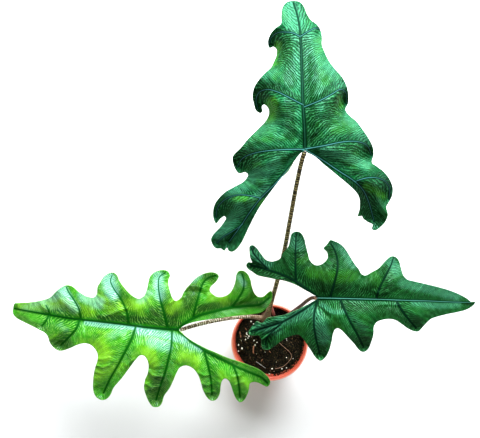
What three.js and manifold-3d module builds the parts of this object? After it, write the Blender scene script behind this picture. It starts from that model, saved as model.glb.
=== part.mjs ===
// A potted jacklyn alocasia: three lobed, arrow-shaped leaves on mottled stalks that grow from one corm,
// in a round terracotta-coloured plastic pot filled with potting mix.
// Millimetres, +Z up. The origin is the middle of the pot's underside. The tallest leaf leans to +Y.

import * as THREE from "three";
import { mergeVertices } from "three/addons/utils/BufferGeometryUtils.js";
import Module from "manifold-3d";

const wasm = await Module();
wasm.setup();

// Pot and soil
const POT_HEIGHT = 95;
const RIM_RADIUS = 55;
const FOOT_RADIUS = 37.5;
const WALL = 1.6;
const FLOOR = 2.4;
const LIP_WIDTH = 3.2;
const LIP_DEPTH = 4;
const COLLAR_DEPTH = 17;
const COLLAR_STEP = 1.6;
const DRAIN_HOLES = 6;
const DRAIN_RADIUS = 4;
const DRAIN_CIRCLE = 25;
const SOIL_BELOW_RIM = 14;
const GAP = 0.35;

// Plant
const BLADE = 0.8;
const STEM_X = -5;
const STEM_Y = 34;
const STEM_TOP = 104;

// The leaves are drawn on a plan, as the plant looks from a point high above it. A plan point has x to the
// right and y towards the pot's near side, and it is carried along its line of sight to its own height.
const PLAN_CENTRE = { x: 240, y: 219 };
const PLAN_POT = { x: 269.75, y: 342.5, width: 77 };
const PLAN_UNIT = (2 * RIM_RADIUS) / PLAN_POT.width;
const EYE = new THREE.Vector3(
  (PLAN_CENTRE.x - PLAN_POT.x) * PLAN_UNIT,
  (PLAN_POT.y - PLAN_CENTRE.y) * PLAN_UNIT,
  POT_HEIGHT + 950,
);

// Spacing of the blade's points on the plan, and the room that each keeps from the others
const EDGE_STEP = 4.6;
const VEIN_STEP = 5;
const LATTICE_STEP = 5.6;
const KEEP_CLEAR = 3.1;
const VEIN_CLEAR = 1.7;

// Form of the blade's upper surface, with reaches on the plan and rises in millimetres
const GUIDE_STEP = 2.5;
const VEIN_PULL = 2;
const VEIN_SOFTNESS = 4;
const MARGIN_REACH = 6;
const MARGIN_WAVES = 24;
const DROOP_REACH = 8;

// Lumps of the soil's top
const LUMPS = { count: 70, radius: [2.5, 6.5], rise: [0.6, 2.8], sink: 1.2 };

// How far a stalk's sheathing base runs up, as a share of its length, and how much of its tip is cut away
// where the blade sits on it
const SHEATH_SHARE = 0.09;
const SEAT_HEIGHT = 5;

const GREEN_DARK = 0x1f6b3c;
const GREEN_BRIGHT = 0x4fae2e;
const STALK_BROWN = 0x6f5b44;
const TERRACOTTA = 0xe0785f;
const SOIL_BROWN = 0x2a1d15;
const CORM_BROWN = 0x8a6b50;
const SHEATH_PINK = 0xd98f86;

// Each vein is a row of [x, y, height] on the plan, from its root to its end, with the rib's height under
// the blade at both ends. The blade takes its height from the veins near it, and puffs up between them: by
// the rise, within the reach of each vein, which a stout rib makes longer. The outline goes round all the
// lobes from the tip.
const LEAVES = {
  upper: {
    color: GREEN_DARK,
    edgeDroop: 3.2,
    wave: 1.2,
    puff: { rise: 4.6, reach: 5.5, reachPerRib: 1.8 },
    veins: [
      {
        rib: [3.2, 0.8],
        path: [
          [305, 149.5, 345], [304.5, 128, 352], [303, 105, 354], [302, 75, 348], [300.5, 37, 331],
          [298, 18, 315], [293.5, 3, 299],
        ],
      },
      {
        rib: [1.2, 0.5],
        path: [
          [301, 36, 331], [309, 31, 330], [316, 28, 322], [319.5, 29.5, 313],
        ],
      },
      {
        rib: [1.2, 0.5],
        path: [
          [300, 36.5, 331], [293, 33, 331], [285, 32, 327], [277, 33, 317], [271, 38, 304],
          [269.5, 44, 293],
        ],
      },
      {
        rib: [1.6, 0.5],
        path: [
          [304, 107, 354], [320, 100.5, 357], [332, 94, 352], [340, 89.5, 341], [346, 93, 323],
          [346.5, 103, 306],
        ],
      },
      {
        rib: [1.6, 0.5],
        path: [
          [303.5, 105, 354], [290, 98, 357], [279, 92.5, 352], [268, 89.5, 340], [259, 92.5, 325],
          [256, 101, 309], [258, 109, 298],
        ],
      },
      {
        rib: [2, 0.5],
        path: [
          [305.5, 149, 345], [325, 145.5, 350], [342, 142, 347], [357, 141.5, 336], [367, 145.5, 320],
          [371.5, 155, 302],
        ],
      },
      {
        rib: [2, 0.5],
        path: [
          [304.5, 149.5, 345], [288, 149.5, 350], [270, 150.5, 348], [255, 153, 338], [243, 158, 323],
          [237, 167, 306],
        ],
      },
      {
        rib: [2.6, 0.8],
        path: [
          [306, 150.5, 345], [320, 158.5, 341], [338, 170.5, 333], [354, 181, 322], [363, 190, 308],
          [369, 203, 288], [374, 221, 263],
        ],
      },
      {
        rib: [1.2, 0.5],
        path: [
          [355, 181.5, 321], [364, 178.5, 322], [374, 177.5, 316], [384, 180.5, 302], [389.5, 188, 286],
          [389, 199, 270],
        ],
      },
      {
        rib: [2.6, 0.8],
        path: [
          [304, 150.5, 345], [290, 167, 341], [275, 184, 333], [260, 199, 322], [250, 212, 309],
          [240, 227, 293], [229, 242, 275],
        ],
      },
      {
        rib: [1.2, 0.5],
        path: [
          [260, 198, 323], [249, 195.5, 322], [237, 195, 316], [226, 199, 304], [218, 207, 288],
          [216, 217, 272],
        ],
      },
      {
        rib: [1, 0.5],
        path: [
          [243, 224, 296], [233, 231, 292], [223, 237, 281], [217, 243, 270],
        ],
      },
    ],
    outline: [
      [293, 0.8], [300, 2], [304, 7], [307, 14], [311, 20], [317, 24.5], [320.5, 30], [322, 37], [322, 45],
      [325, 53], [329, 61], [335, 69], [342, 77], [346.3, 85], [348.3, 94], [348, 103], [345.5, 109.8],
      [350, 116], [356, 121], [363, 130], [369, 139], [372.8, 147], [373.6, 154], [372, 162.5],
      [377, 166.5], [384, 172], [390, 180], [392.8, 188], [392, 196], [387.5, 204.5], [386.3, 207],
      [387.7, 214], [386, 220], [381, 226], [375, 230], [372, 228.5], [372.8, 224.5], [368, 222],
      [364, 219], [362, 216], [358.5, 216.5], [358.8, 213.5], [360, 209], [359.6, 198], [356, 192],
      [350, 186], [340, 177.5], [325, 165], [314, 155.8], [308, 152],
      [304.8, 150.8],
      [302, 152], [297, 157], [285, 173], [272, 190], [260, 206.5], [254, 217], [247, 231], [242, 241],
      [237, 248], [232, 251.5], [228.5, 250.5], [227, 247.5], [224, 250.5], [221, 248.5], [216, 248],
      [212.5, 244], [211.3, 239], [214, 234], [220, 227.5], [224, 222], [226, 218.3], [224.5, 216.3],
      [220, 218.5], [216, 223], [214, 219], [213, 213], [214.5, 205], [219, 198], [226, 191.5],
      [234, 187], [243, 182], [247, 177.5], [248, 174.5], [244.5, 172], [239, 173], [235, 168],
      [232.5, 159], [234, 155], [241, 147.5], [248, 139], [257, 130], [264, 123], [267.5, 118],
      [269, 113], [268, 108], [264, 104.5], [261.5, 107], [262, 111], [260, 112.7], [256, 110],
      [254, 104], [252.5, 97], [254, 88], [258, 81], [265, 73], [271, 67.5], [274, 61.5], [276.5, 55],
      [276.5, 49.5], [273, 46.5], [269.5, 47.5], [268, 42], [270, 35], [275, 28.5], [281, 23.5],
      [281.5, 15], [283, 7], [287, 2],
    ],
  },
  left: {
    color: GREEN_BRIGHT,
    edgeDroop: 1.4,
    wave: 1.6,
    puff: { rise: 5.2, reach: 3.2, reachPerRib: 2 },
    veins: [
      {
        rib: [3.2, 0.8],
        path: [
          [179, 329.5, 200], [165, 328.8, 204], [145, 327, 208], [120, 323.8, 210], [95, 321, 208],
          [70, 318.3, 203], [45, 314, 195], [25, 310.5, 186], [14.5, 308.5, 180],
        ],
      },
      {
        rib: [1, 0.5],
        path: [
          [50, 315, 197], [48.5, 310, 200], [46, 305.5, 200],
        ],
      },
      {
        rib: [1.4, 0.5],
        path: [
          [81, 319.5, 206], [79, 309, 212], [74, 300, 213], [68.5, 292, 209], [66.5, 287.5, 204],
        ],
      },
      {
        rib: [1.6, 0.5],
        path: [
          [129, 325, 210], [126.5, 311, 217], [121, 299, 219], [114, 289, 215], [110.5, 281, 208],
          [112, 275.5, 202],
        ],
      },
      {
        rib: [1.8, 0.5],
        path: [
          [168, 329, 203], [164, 312, 213], [160.5, 300, 216], [158.5, 287, 213], [159.5, 277, 206],
          [165, 273, 200],
        ],
      },
      {
        rib: [2.2, 0.8],
        path: [
          [178.5, 329, 200], [186, 322.5, 204], [198, 316, 207], [213, 311.8, 207], [230, 307.8, 203],
          [247, 306, 197], [260, 304.5, 190], [269, 298, 181],
        ],
      },
      {
        rib: [1.4, 0.5],
        path: [
          [193, 318.5, 206], [196, 305, 213], [199.5, 293, 213], [203, 283, 208], [209, 277.5, 200],
          [215.5, 275.5, 191],
        ],
      },
      {
        rib: [1.2, 0.5],
        path: [
          [231, 307.6, 202.5], [238, 299, 207], [243, 290, 208], [244, 281, 203], [242, 274, 196],
        ],
      },
      {
        rib: [1, 0.5],
        path: [
          [49, 315, 196.5], [46, 321, 199], [42, 326, 197],
        ],
      },
      {
        rib: [1.4, 0.5],
        path: [
          [80, 319.5, 206], [76, 329, 209], [69, 337, 203], [61, 345, 190],
        ],
      },
      {
        rib: [1.8, 0.5],
        path: [
          [136, 326, 209], [131.5, 339, 216], [125, 352, 216], [117.5, 366, 210], [110, 379, 200],
          [103.5, 393, 186],
        ],
      },
      {
        rib: [1.8, 0.5],
        path: [
          [172, 329.5, 201], [171.5, 344, 211], [169, 357, 213], [165.5, 371, 208], [161, 384, 198],
          [156, 400, 182],
        ],
      },
      {
        rib: [2.2, 0.8],
        path: [
          [178.5, 330.5, 200], [190, 340.5, 203], [205, 350.5, 203], [220, 358.5, 200], [236, 366.5, 195],
          [250, 372.5, 190], [262, 377.5, 184], [267.5, 383, 178],
        ],
      },
      {
        rib: [1.4, 0.5],
        path: [
          [204, 350, 203], [208, 365, 205], [211, 380, 198], [212, 395, 186],
        ],
      },
      {
        rib: [1.2, 0.5],
        path: [
          [233, 365.2, 196], [237, 375, 197], [239, 386, 190], [240, 397, 179],
        ],
      },
    ],
    outline: [
      [13, 309], [14.5, 303.6], [18, 303.2], [30, 302.5], [40, 300.8], [50, 297.5], [55, 292.5], [61, 287.5],
      [67, 285.3], [72, 286.5], [79, 292], [87, 296.5], [94, 297.3], [96.7, 294], [97.5, 287], [101, 281],
      [104, 276.5], [109, 273.3], [113, 272.6], [116.5, 275], [119.5, 281], [125, 288.5], [132, 295.5],
      [139, 298.7], [144, 296], [147, 289], [148.5, 282], [150.5, 276], [155, 272], [161, 270.2],
      [167, 271], [169.8, 275], [168.5, 279], [168.5, 285], [170, 291], [172, 297], [175.5, 301],
      [180, 299], [184, 292], [189, 285.5], [195, 279], [202, 274.5], [209, 272.5], [215, 273],
      [218.5, 276], [216, 281.5], [211, 286.5], [209.8, 290.5], [212.5, 294], [218, 297], [224, 296.5],
      [229.5, 293.5], [233, 288], [235.5, 281], [236.5, 275], [239, 271.3], [243, 271], [247.5, 274],
      [250.5, 280], [252, 287], [255, 294], [259, 297], [264, 296.5], [268, 293], [271, 291.3],
      [272.2, 294.5], [271, 301], [267, 307.5], [261.5, 312], [254, 313.8], [245, 315], [235, 315.8],
      [225, 317.3], [212, 319], [200, 320.8], [190, 323.2], [183, 326.3],
      [179.3, 330.2],
      [184, 334.8], [190, 339.5], [202, 346.5], [215, 352.5], [228, 358], [240, 362], [252, 366.5],
      [260, 370], [266, 375], [269.5, 379.5], [270, 383.3], [267.5, 386.5], [264, 385.5], [259, 383],
      [254, 382], [250, 383.5], [249, 389], [247, 395], [243.5, 400.5], [240, 402], [237, 399.5],
      [234, 394], [231, 385.5], [228.5, 380.5], [225, 378.5], [222, 381], [220.5, 387], [219.5, 394],
      [216, 399.5], [211.5, 400.5], [207, 397], [203, 390], [200.5, 381], [197.5, 374], [193, 368.5],
      [186, 365.5], [180, 367.5], [177, 372], [173, 381], [169, 389], [164, 396], [161.5, 403],
      [158.5, 406.5], [153, 406.5], [149.5, 402.5], [146, 395], [144, 388], [145, 380.5], [148, 372],
      [148.5, 365], [147, 359.5], [144, 355.8], [140, 355.5], [135, 360.5], [129, 368.5], [121, 379],
      [113, 388.5], [110, 395], [106, 399], [101, 399.8], [96, 396.5], [93.3, 390], [93.3, 378],
      [95, 368], [97.5, 360], [97.5, 354], [95, 349], [90, 344.5], [84, 343.3], [77, 345], [69, 348.5],
      [60, 350.5], [54.5, 348], [50, 343], [47.5, 336], [44.5, 332.5], [38, 329], [30, 325], [22, 321],
      [16, 317.5], [13, 313.5],
    ],
  },
  right: {
    color: GREEN_DARK,
    edgeDroop: 2.2,
    wave: 1.2,
    puff: { rise: 4.4, reach: 3.6, reachPerRib: 1.8 },
    veins: [
      {
        rib: [3.2, 0.8],
        path: [
          [318, 298, 255], [335, 298.3, 259], [355, 298.8, 262], [380, 299.4, 262], [405, 300.3, 258],
          [430, 301, 251], [452, 302, 243], [468, 302.4, 235], [474.5, 302.4, 230],
        ],
      },
      {
        rib: [1.6, 0.5],
        path: [
          [376, 299, 262], [380, 287, 267], [386, 275, 266], [391, 265, 258], [393, 259, 250],
        ],
      },
      {
        rib: [1.8, 0.5],
        path: [
          [330, 298, 258], [334, 284, 266], [337, 272, 269], [337.5, 261, 264], [335, 251, 255],
          [331, 244, 246],
        ],
      },
      {
        rib: [2.2, 0.8],
        path: [
          [317.5, 297, 255], [306, 288.5, 259], [295, 281, 260], [283, 275, 258], [270, 270.5, 254],
          [258, 267, 248], [250, 264.5, 242],
        ],
      },
      {
        rib: [1.4, 0.5],
        path: [
          [296, 281.5, 260], [295.5, 266, 264], [295.5, 251, 261], [296, 238, 252],
        ],
      },
      {
        rib: [1.2, 0.5],
        path: [
          [269, 270, 253.5], [261, 262, 255], [254, 254, 250], [251.5, 248, 244],
        ],
      },
      {
        rib: [1.6, 0.5],
        path: [
          [396, 300, 260], [401, 309, 263], [408, 318.5, 259], [416, 328, 248],
        ],
      },
      {
        rib: [1.8, 0.5],
        path: [
          [340, 298.5, 260], [345, 311, 267], [351, 323, 266], [357.5, 334.5, 259], [363.5, 347, 246],
        ],
      },
      {
        rib: [1.8, 0.5],
        path: [
          [318, 299, 255], [314.5, 312, 263], [314, 325, 264], [316, 338, 256], [320, 355, 241],
        ],
      },
      {
        rib: [2.2, 0.8],
        path: [
          [317, 299.5, 255], [306, 308, 258], [294, 315.5, 255], [283, 321.5, 249], [272, 325.5, 241],
          [260, 329, 233], [251, 331.5, 227],
        ],
      },
      {
        rib: [1, 0.5],
        path: [
          [284, 321, 249.5], [274, 330, 243], [267, 338, 236], [265.5, 345, 230],
        ],
      },
    ],
    outline: [
      [475.3, 302], [471.5, 302], [467, 298.5], [460, 294.6], [450, 290.5], [440, 287.5], [430, 285],
      [420, 282.7], [412, 280.8], [407.5, 279.5], [403.5, 275.5], [401, 268], [399, 261], [396, 257.3],
      [392.5, 256.3], [389, 257.8], [384, 262.5], [379, 268], [372, 272], [365, 275.5], [361, 273.5],
      [359, 269.5], [355, 264.5], [350, 256.5], [345, 248.5], [340, 243.8], [334, 241.2], [330.5, 240.2],
      [327.5, 244], [323.8, 248.2], [326.5, 251], [328, 256], [326.5, 260], [322, 264], [318, 265.3],
      [314, 264.5], [310, 260.5], [308, 254], [306, 246], [304, 238.5], [300.5, 232.8], [296, 231.8],
      [292, 234], [290.3, 239], [289, 245], [287, 248.5], [283, 253], [280, 258.5], [275, 261],
      [270.5, 261.5], [265.5, 259.5], [261, 254], [256.5, 248], [252.5, 245.3], [250, 246.3], [249.5, 252],
      [250.3, 258], [252, 262.6], [248.5, 262.5], [246.5, 265], [248, 268.5], [252, 271.5], [257, 275],
      [265, 277], [275, 279], [285, 281], [295, 284.5], [305, 290], [312, 294],
      [317.2, 298],
      [312, 302], [305, 306], [298, 309.5], [290, 312.8], [283, 315.3], [275, 316.8], [268, 318],
      [265, 319.8], [263, 322.5], [260, 323], [256.5, 321.5], [254, 324], [251, 327.5], [248.5, 332],
      [250, 335], [254, 335.3], [259, 335.8], [261, 339], [261.5, 344], [263, 348.5], [268, 349.5],
      [274, 346.5], [280, 342], [287, 337.5], [293, 335.3], [298.5, 334.8], [302, 337.5], [306, 343],
      [311, 350.5], [316, 357.5], [320.5, 360.5], [325, 357.5], [329, 350.5], [331.5, 342], [333, 334],
      [335, 329.5], [337.5, 328.3], [341, 329.8], [347, 336], [354, 343.5], [359.5, 350], [363.5, 351.8],
      [368, 349], [371.5, 341.5], [373.5, 334], [374, 326.5], [377, 322], [383, 319.7], [389, 319],
      [395, 320], [401, 323.5], [408, 328.5], [414, 331], [418, 331.3], [421.5, 328.5], [426, 323.5],
      [431, 319], [438, 316.5], [448, 314], [458, 312], [465, 310.2], [470.5, 307.5], [474, 304.5],
    ],
  },
};

// Each stalk is a row of [x, y, height] on the plan, from the crown to its blade, with its radius at the
// sheathing base, along its length and under the blade.
const STALKS = {
  upper: {
    steps: 26,
    radii: [6, 3.1, 2.5],
    path: [
      [266.2, 319.2, STEM_TOP], [266.6, 318.5, 112], [268.3, 312, 128], [272.5, 298, 152],
      [277.5, 280, 179], [284.5, 250, 220], [290, 220, 260], [296.5, 185, 304], [302, 160, 334],
      [304.4, 152.4, 341.8], [304.9, 148.6, 344.4],
    ],
  },
  left: {
    steps: 16,
    radii: [5, 3, 2.5],
    path: [
      [266, 319.4, 92], [262, 318.6, 96], [257, 317.4, 102], [248, 316.6, 113], [235, 317.4, 129],
      [220, 319.6, 147], [205, 322.8, 166], [190, 326.8, 186], [181, 329.6, 196.8],
      [177, 329.8, 199.6],
    ],
  },
  right: {
    steps: 16,
    radii: [4.6, 2.6, 2.2],
    path: [
      [266.5, 319.5, 88], [270, 320.2, 96], [276, 320, 116], [286, 316.2, 156], [296, 309.4, 196],
      [303, 304.1, 223], [308, 300, 240], [312.5, 297.8, 248.5], [316, 298, 252], [319.5, 298, 254.4],
    ],
  },
};

const plan = (x, y, height) => {
  const scale = (PLAN_UNIT * (EYE.z - height)) / (EYE.z - POT_HEIGHT);
  return new THREE.Vector3(
    EYE.x + (x - PLAN_CENTRE.x) * scale,
    EYE.y - (y - PLAN_CENTRE.y) * scale,
    height,
  );
};

const material = (color, roughness) => new THREE.MeshStandardMaterial({ color, roughness, metalness: 0 });

const toSolid = (geometry) => {
  const bare = geometry.clone();
  bare.deleteAttribute("normal");
  bare.deleteAttribute("uv");
  const merged = mergeVertices(bare, 1e-3);
  return new wasm.Manifold(
    new wasm.Mesh({
      numProp: 3,
      vertProperties: merged.attributes.position.array,
      triVerts: new Uint32Array(merged.index.array),
    }),
  );
};

const toGeometry = (solid) => {
  const mesh = solid.getMesh();
  const geometry = new THREE.BufferGeometry();
  geometry.setAttribute("position", new THREE.BufferAttribute(mesh.vertProperties, 3));
  geometry.setIndex(new THREE.BufferAttribute(mesh.triVerts, 1));
  geometry.computeVertexNormals();
  return geometry;
};

// A number that looks random but is the same on every run.
const randomNumbers = (seed) => {
  let state = seed;
  return () => {
    state = (state * 1664525 + 1013904223) % 4294967296;
    return state / 4294967296;
  };
};

// Solid of revolution about Z from [radius, height] points that run anticlockwise round the section.
const turned = (profile, sides) =>
  new THREE.LatheGeometry(
    profile.map(([radius, height]) => new THREE.Vector2(radius, height)),
    sides,
  ).rotateX(Math.PI / 2);

// Closed tube along a curve, with a radius for each share of its length.
const tube = (points, radiusAt, sides, steps) => {
  const curve = new THREE.CatmullRomCurve3(points, false, "centripetal");
  const frames = curve.computeFrenetFrames(steps, false);
  const position = [];
  const index = [];
  for (let i = 0; i <= steps; i++) {
    const centre = curve.getPointAt(i / steps);
    for (let j = 0; j < sides; j++) {
      const angle = (2 * Math.PI * j) / sides;
      const spoke = frames.normals[i]
        .clone()
        .multiplyScalar(Math.cos(angle))
        .addScaledVector(frames.binormals[i], Math.sin(angle));
      position.push(...centre.clone().addScaledVector(spoke, radiusAt(i / steps)).toArray());
    }
  }
  const ring = (i, j) => i * sides + (j % sides);
  for (let i = 0; i < steps; i++)
    for (let j = 0; j < sides; j++) {
      index.push(ring(i, j), ring(i, j + 1), ring(i + 1, j + 1));
      index.push(ring(i, j), ring(i + 1, j + 1), ring(i + 1, j));
    }
  for (let j = 1; j < sides - 1; j++) {
    index.push(0, ring(0, j + 1), ring(0, j));
    index.push(ring(steps, 0), ring(steps, j), ring(steps, j + 1));
  }
  const geometry = new THREE.BufferGeometry();
  geometry.setAttribute("position", new THREE.Float32BufferAttribute(position, 3));
  geometry.setIndex(index);
  return geometry;
};

// The blade's plan: outline, veins and the triangles between them.

const smoothOutline = (corners) => {
  const curve = new THREE.CatmullRomCurve3(
    corners.map(([x, y]) => new THREE.Vector3(x, y, 0)),
    true,
    "centripetal",
  );
  const points = [];
  corners.forEach(([x, y], i) => {
    const [nextX, nextY] = corners[(i + 1) % corners.length];
    const pieces = Math.ceil(Math.hypot(nextX - x, nextY - y) / EDGE_STEP);
    for (let j = 0; j < pieces; j++) {
      const p = curve.getPoint((i + j / pieces) / corners.length);
      points.push([p.x, p.y]);
    }
  });
  return points;
};

const smoothVein = (vein, step) => {
  const curve = new THREE.CatmullRomCurve3(
    vein.path.map((p) => new THREE.Vector3(...p)),
    false,
    "centripetal",
  );
  const pieces = Math.ceil(curve.getLength() / step);
  return curve.getSpacedPoints(pieces).map((p, i) => ({
    at: p,
    rib: THREE.MathUtils.lerp(vein.rib[0], vein.rib[1], i / pieces),
  }));
};

const isInside = ([x, y], outline) => {
  let inside = false;
  outline.forEach(([x1, y1], i) => {
    const [x2, y2] = outline[(i + 1) % outline.length];
    if (y1 > y !== y2 > y && x < ((x2 - x1) * (y - y1)) / (y2 - y1) + x1) inside = !inside;
  });
  return inside;
};

// The nearest point of a row of points to x, y: how far it is, and its share of the way along.
const nearest = (x, y, row, closed) => {
  let best = { distance: Infinity, index: 0, share: 0 };
  const count = closed ? row.length : row.length - 1;
  for (let i = 0; i < count; i++) {
    const [ax, ay] = row[i];
    const [bx, by] = row[(i + 1) % row.length];
    const length2 = (bx - ax) ** 2 + (by - ay) ** 2;
    const share = THREE.MathUtils.clamp(((x - ax) * (bx - ax) + (y - ay) * (by - ay)) / length2, 0, 1);
    const distance = Math.hypot(x - ax - share * (bx - ax), y - ay - share * (by - ay));
    if (distance < best.distance) best = { distance, index: i, share };
  }
  return best;
};

// Delaunay triangulation: points go in one at a time, and the hole that each one opens is filled from it.
const triangulate = (points) => {
  const far = 1e5;
  const all = [...points, [-far, -far], [far, -far], [0, far]];
  const make = (a, b, c) => {
    const [ax, ay] = all[a];
    const bx = all[b][0] - ax;
    const by = all[b][1] - ay;
    const cx = all[c][0] - ax;
    const cy = all[c][1] - ay;
    const area = 2 * (bx * cy - by * cx);
    const ux = (cy * (bx * bx + by * by) - by * (cx * cx + cy * cy)) / area;
    const uy = (bx * (cx * cx + cy * cy) - cx * (bx * bx + by * by)) / area;
    return { corners: [a, b, c], x: ax + ux, y: ay + uy, radius2: ux * ux + uy * uy };
  };
  let triangles = [make(points.length, points.length + 1, points.length + 2)];
  points.forEach(([x, y], p) => {
    const edges = new Map();
    const kept = [];
    for (const triangle of triangles) {
      if ((triangle.x - x) ** 2 + (triangle.y - y) ** 2 >= triangle.radius2) {
        kept.push(triangle);
        continue;
      }
      triangle.corners.forEach((a, i) => {
        const b = triangle.corners[(i + 1) % 3];
        if (!edges.delete(`${b} ${a}`)) edges.set(`${a} ${b}`, [a, b]);
      });
    }
    triangles = [...kept, ...[...edges.values()].map(([a, b]) => make(a, b, p))];
  });
  return triangles.map((t) => t.corners).filter((corners) => corners.every((c) => c < points.length));
};

// The upper surface's height over a plan point: an average of points along the veins, the nearest ones
// counting most, puffed up between the veins, turned down along the margin and waved there.
const bladeHeight = (x, y, leaf, guides, outline) => {
  let total = 0;
  let weights = 0;
  let closest = Infinity;
  let puff = leaf.puff.rise;
  for (const row of guides) {
    for (const { at } of row) {
      const weight = 1 / ((at.x - x) ** 2 + (at.y - y) ** 2 + VEIN_SOFTNESS) ** VEIN_PULL;
      total += weight * at.z;
      weights += weight;
    }
    const { distance } = nearest(x, y, row.map((v) => [v.at.x, v.at.y]), false);
    const reach = leaf.puff.reach + leaf.puff.reachPerRib * row[0].rib;
    puff *= 1 - Math.exp(-((distance / reach) ** 2));
    closest = Math.min(closest, distance);
  }
  const edge = nearest(x, y, outline, true);
  const margin = Math.exp(-((edge.distance / MARGIN_REACH) ** 2));
  const round = (edge.index + edge.share) / outline.length;
  const wave = leaf.wave * Math.sin(round * 2 * Math.PI * MARGIN_WAVES);
  return total / weights + puff + margin * (wave - leaf.edgeDroop * Math.min(1, closest / DROOP_REACH));
};

const bladeGeometry = (leaf) => {
  const outline = smoothOutline(leaf.outline);
  const veins = leaf.veins.map((vein) => smoothVein(vein, VEIN_STEP));
  const guides = leaf.veins.map((vein) => smoothVein(vein, GUIDE_STEP));
  const points = [...outline];
  const ribs = outline.map(() => 0);
  const isFree = (x, y, room) => points.every(([px, py]) => Math.hypot(px - x, py - y) > room);
  for (const row of veins)
    for (const { at, rib } of row)
      if (isInside([at.x, at.y], outline) && isFree(at.x, at.y, VEIN_CLEAR)) {
        points.push([at.x, at.y]);
        ribs.push(rib);
      }
  const xs = outline.map((p) => p[0]);
  const ys = outline.map((p) => p[1]);
  const rowStep = LATTICE_STEP * Math.sqrt(0.75);
  let shifted = false;
  for (let y = Math.min(...ys); y < Math.max(...ys); y += rowStep) {
    const start = Math.min(...xs) + (shifted ? LATTICE_STEP / 2 : 0);
    for (let x = start; x < Math.max(...xs); x += LATTICE_STEP)
      if (isInside([x, y], outline) && isFree(x, y, KEEP_CLEAR)) {
        points.push([x, y]);
        ribs.push(0);
      }
    shifted = !shifted;
  }
  const faces = triangulate(points).filter((corners) => {
    const x = corners.reduce((sum, c) => sum + points[c][0] / 3, 0);
    const y = corners.reduce((sum, c) => sum + points[c][1] / 3, 0);
    return isInside([x, y], outline);
  });

  // The upper face, then the lower face one blade's thickness under it and lower still along each rib.
  const top = points.map(([x, y]) => plan(x, y, bladeHeight(x, y, leaf, guides, outline)));
  const upper = new THREE.BufferGeometry().setFromPoints(top);
  upper.setIndex(faces.flatMap(([a, b, c]) => [a, c, b]));
  upper.computeVertexNormals();
  const normal = new THREE.Vector3();
  const bottom = top.map((p, i) => {
    normal.fromBufferAttribute(upper.attributes.normal, i);
    return p.clone().addScaledVector(normal, -(BLADE + ribs[i]));
  });
  const index = [];
  const open = new Map();
  for (const [a, b, c] of faces) {
    index.push(a, c, b);
    index.push(a + top.length, b + top.length, c + top.length);
    for (const [from, to] of [[a, c], [c, b], [b, a]])
      if (!open.delete(`${to} ${from}`)) open.set(`${from} ${to}`, [from, to]);
  }
  if (open.size !== outline.length) throw new Error("the blade's triangles don't follow its outline");
  for (const [from, to] of open.values()) {
    index.push(to, from, from + top.length);
    index.push(to, from + top.length, to + top.length);
  }
  const geometry = new THREE.BufferGeometry().setFromPoints([...top, ...bottom]);
  geometry.setIndex(index);
  return geometry;
};

// Pot: a tapered wall with a collar, a rounded lip and a step inside it, and drain holes in a flat floor.
const innerRadius = (height) => {
  const share = height / (POT_HEIGHT - LIP_DEPTH);
  return THREE.MathUtils.lerp(FOOT_RADIUS - WALL, RIM_RADIUS - LIP_WIDTH - COLLAR_STEP, share);
};

const makePot = () => {
  const under = POT_HEIGHT - COLLAR_DEPTH;
  const ledge = POT_HEIGHT - LIP_DEPTH;
  const collar = RIM_RADIUS - 1.2;
  const profile = [
    [0, 0], [FOOT_RADIUS - 1.2, 0], [FOOT_RADIUS, 1.2],
    [innerRadius(under) + WALL, under - 1], [collar - 1, under], [collar, ledge],
    [RIM_RADIUS, ledge + 1], [RIM_RADIUS, POT_HEIGHT - 1], [RIM_RADIUS - 1, POT_HEIGHT],
    [RIM_RADIUS - LIP_WIDTH + 0.8, POT_HEIGHT], [RIM_RADIUS - LIP_WIDTH, POT_HEIGHT - 0.8],
    [RIM_RADIUS - LIP_WIDTH, ledge + 0.4], [innerRadius(ledge), ledge],
    [innerRadius(FLOOR), FLOOR], [0, FLOOR],
  ];
  let pot = toSolid(turned(profile, 48));
  for (let i = 0; i < DRAIN_HOLES; i++) {
    const angle = (2 * Math.PI * i) / DRAIN_HOLES;
    const drill = new THREE.CylinderGeometry(DRAIN_RADIUS, DRAIN_RADIUS, 4 * FLOOR, 12)
      .rotateX(Math.PI / 2)
      .translate(DRAIN_CIRCLE * Math.cos(angle), DRAIN_CIRCLE * Math.sin(angle), 0);
    pot = pot.subtract(toSolid(drill));
  }
  return toGeometry(pot);
};

// Corm and crown: an upright body with leaf-scar rings, and roots that run out and down through the soil.
const cormProfile = (grow) => {
  const rings = [
    [3.6, 51], [6.8, 55], [8.6, 63], [8.8, 71], [8, 77], [8.4, 79.5], [7.7, 83], [8.1, 86], [7.4, 90],
    [7.7, 93], [6.9, 97], [6.4, STEM_TOP + grow],
  ];
  const side = rings.map(([radius, height]) => [radius + grow, height]);
  return [[0, 51 - grow], ...side, [0, STEM_TOP + grow]];
};

const ROOT_ENDS = [
  [-36, 14, 36], [-30, -2, 52], [-20, -16, 26], [-6, -30, 44], [10, -20, 24], [24, -6, 50], [30, 12, 34],
];

const makeRoots = (grow) =>
  ROOT_ENDS.map(([x, y, z]) => {
    const at = (share, height) =>
      new THREE.Vector3(
        THREE.MathUtils.lerp(STEM_X, x, share),
        THREE.MathUtils.lerp(STEM_Y, y, share),
        THREE.MathUtils.lerp(61, z, height),
      );
    const points = [at(0.08, 0), at(0.4, 0.12), at(0.75, 0.5), at(1, 1)];
    return toSolid(tube(points, (t) => 1.5 - 0.7 * t + grow, 6, 6));
  });

const makeCorm = (grow) => {
  const body = toSolid(turned(cormProfile(grow), 20).translate(STEM_X, STEM_Y, 0));
  return makeRoots(grow).reduce((joined, root) => joined.add(root), body);
};

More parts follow.
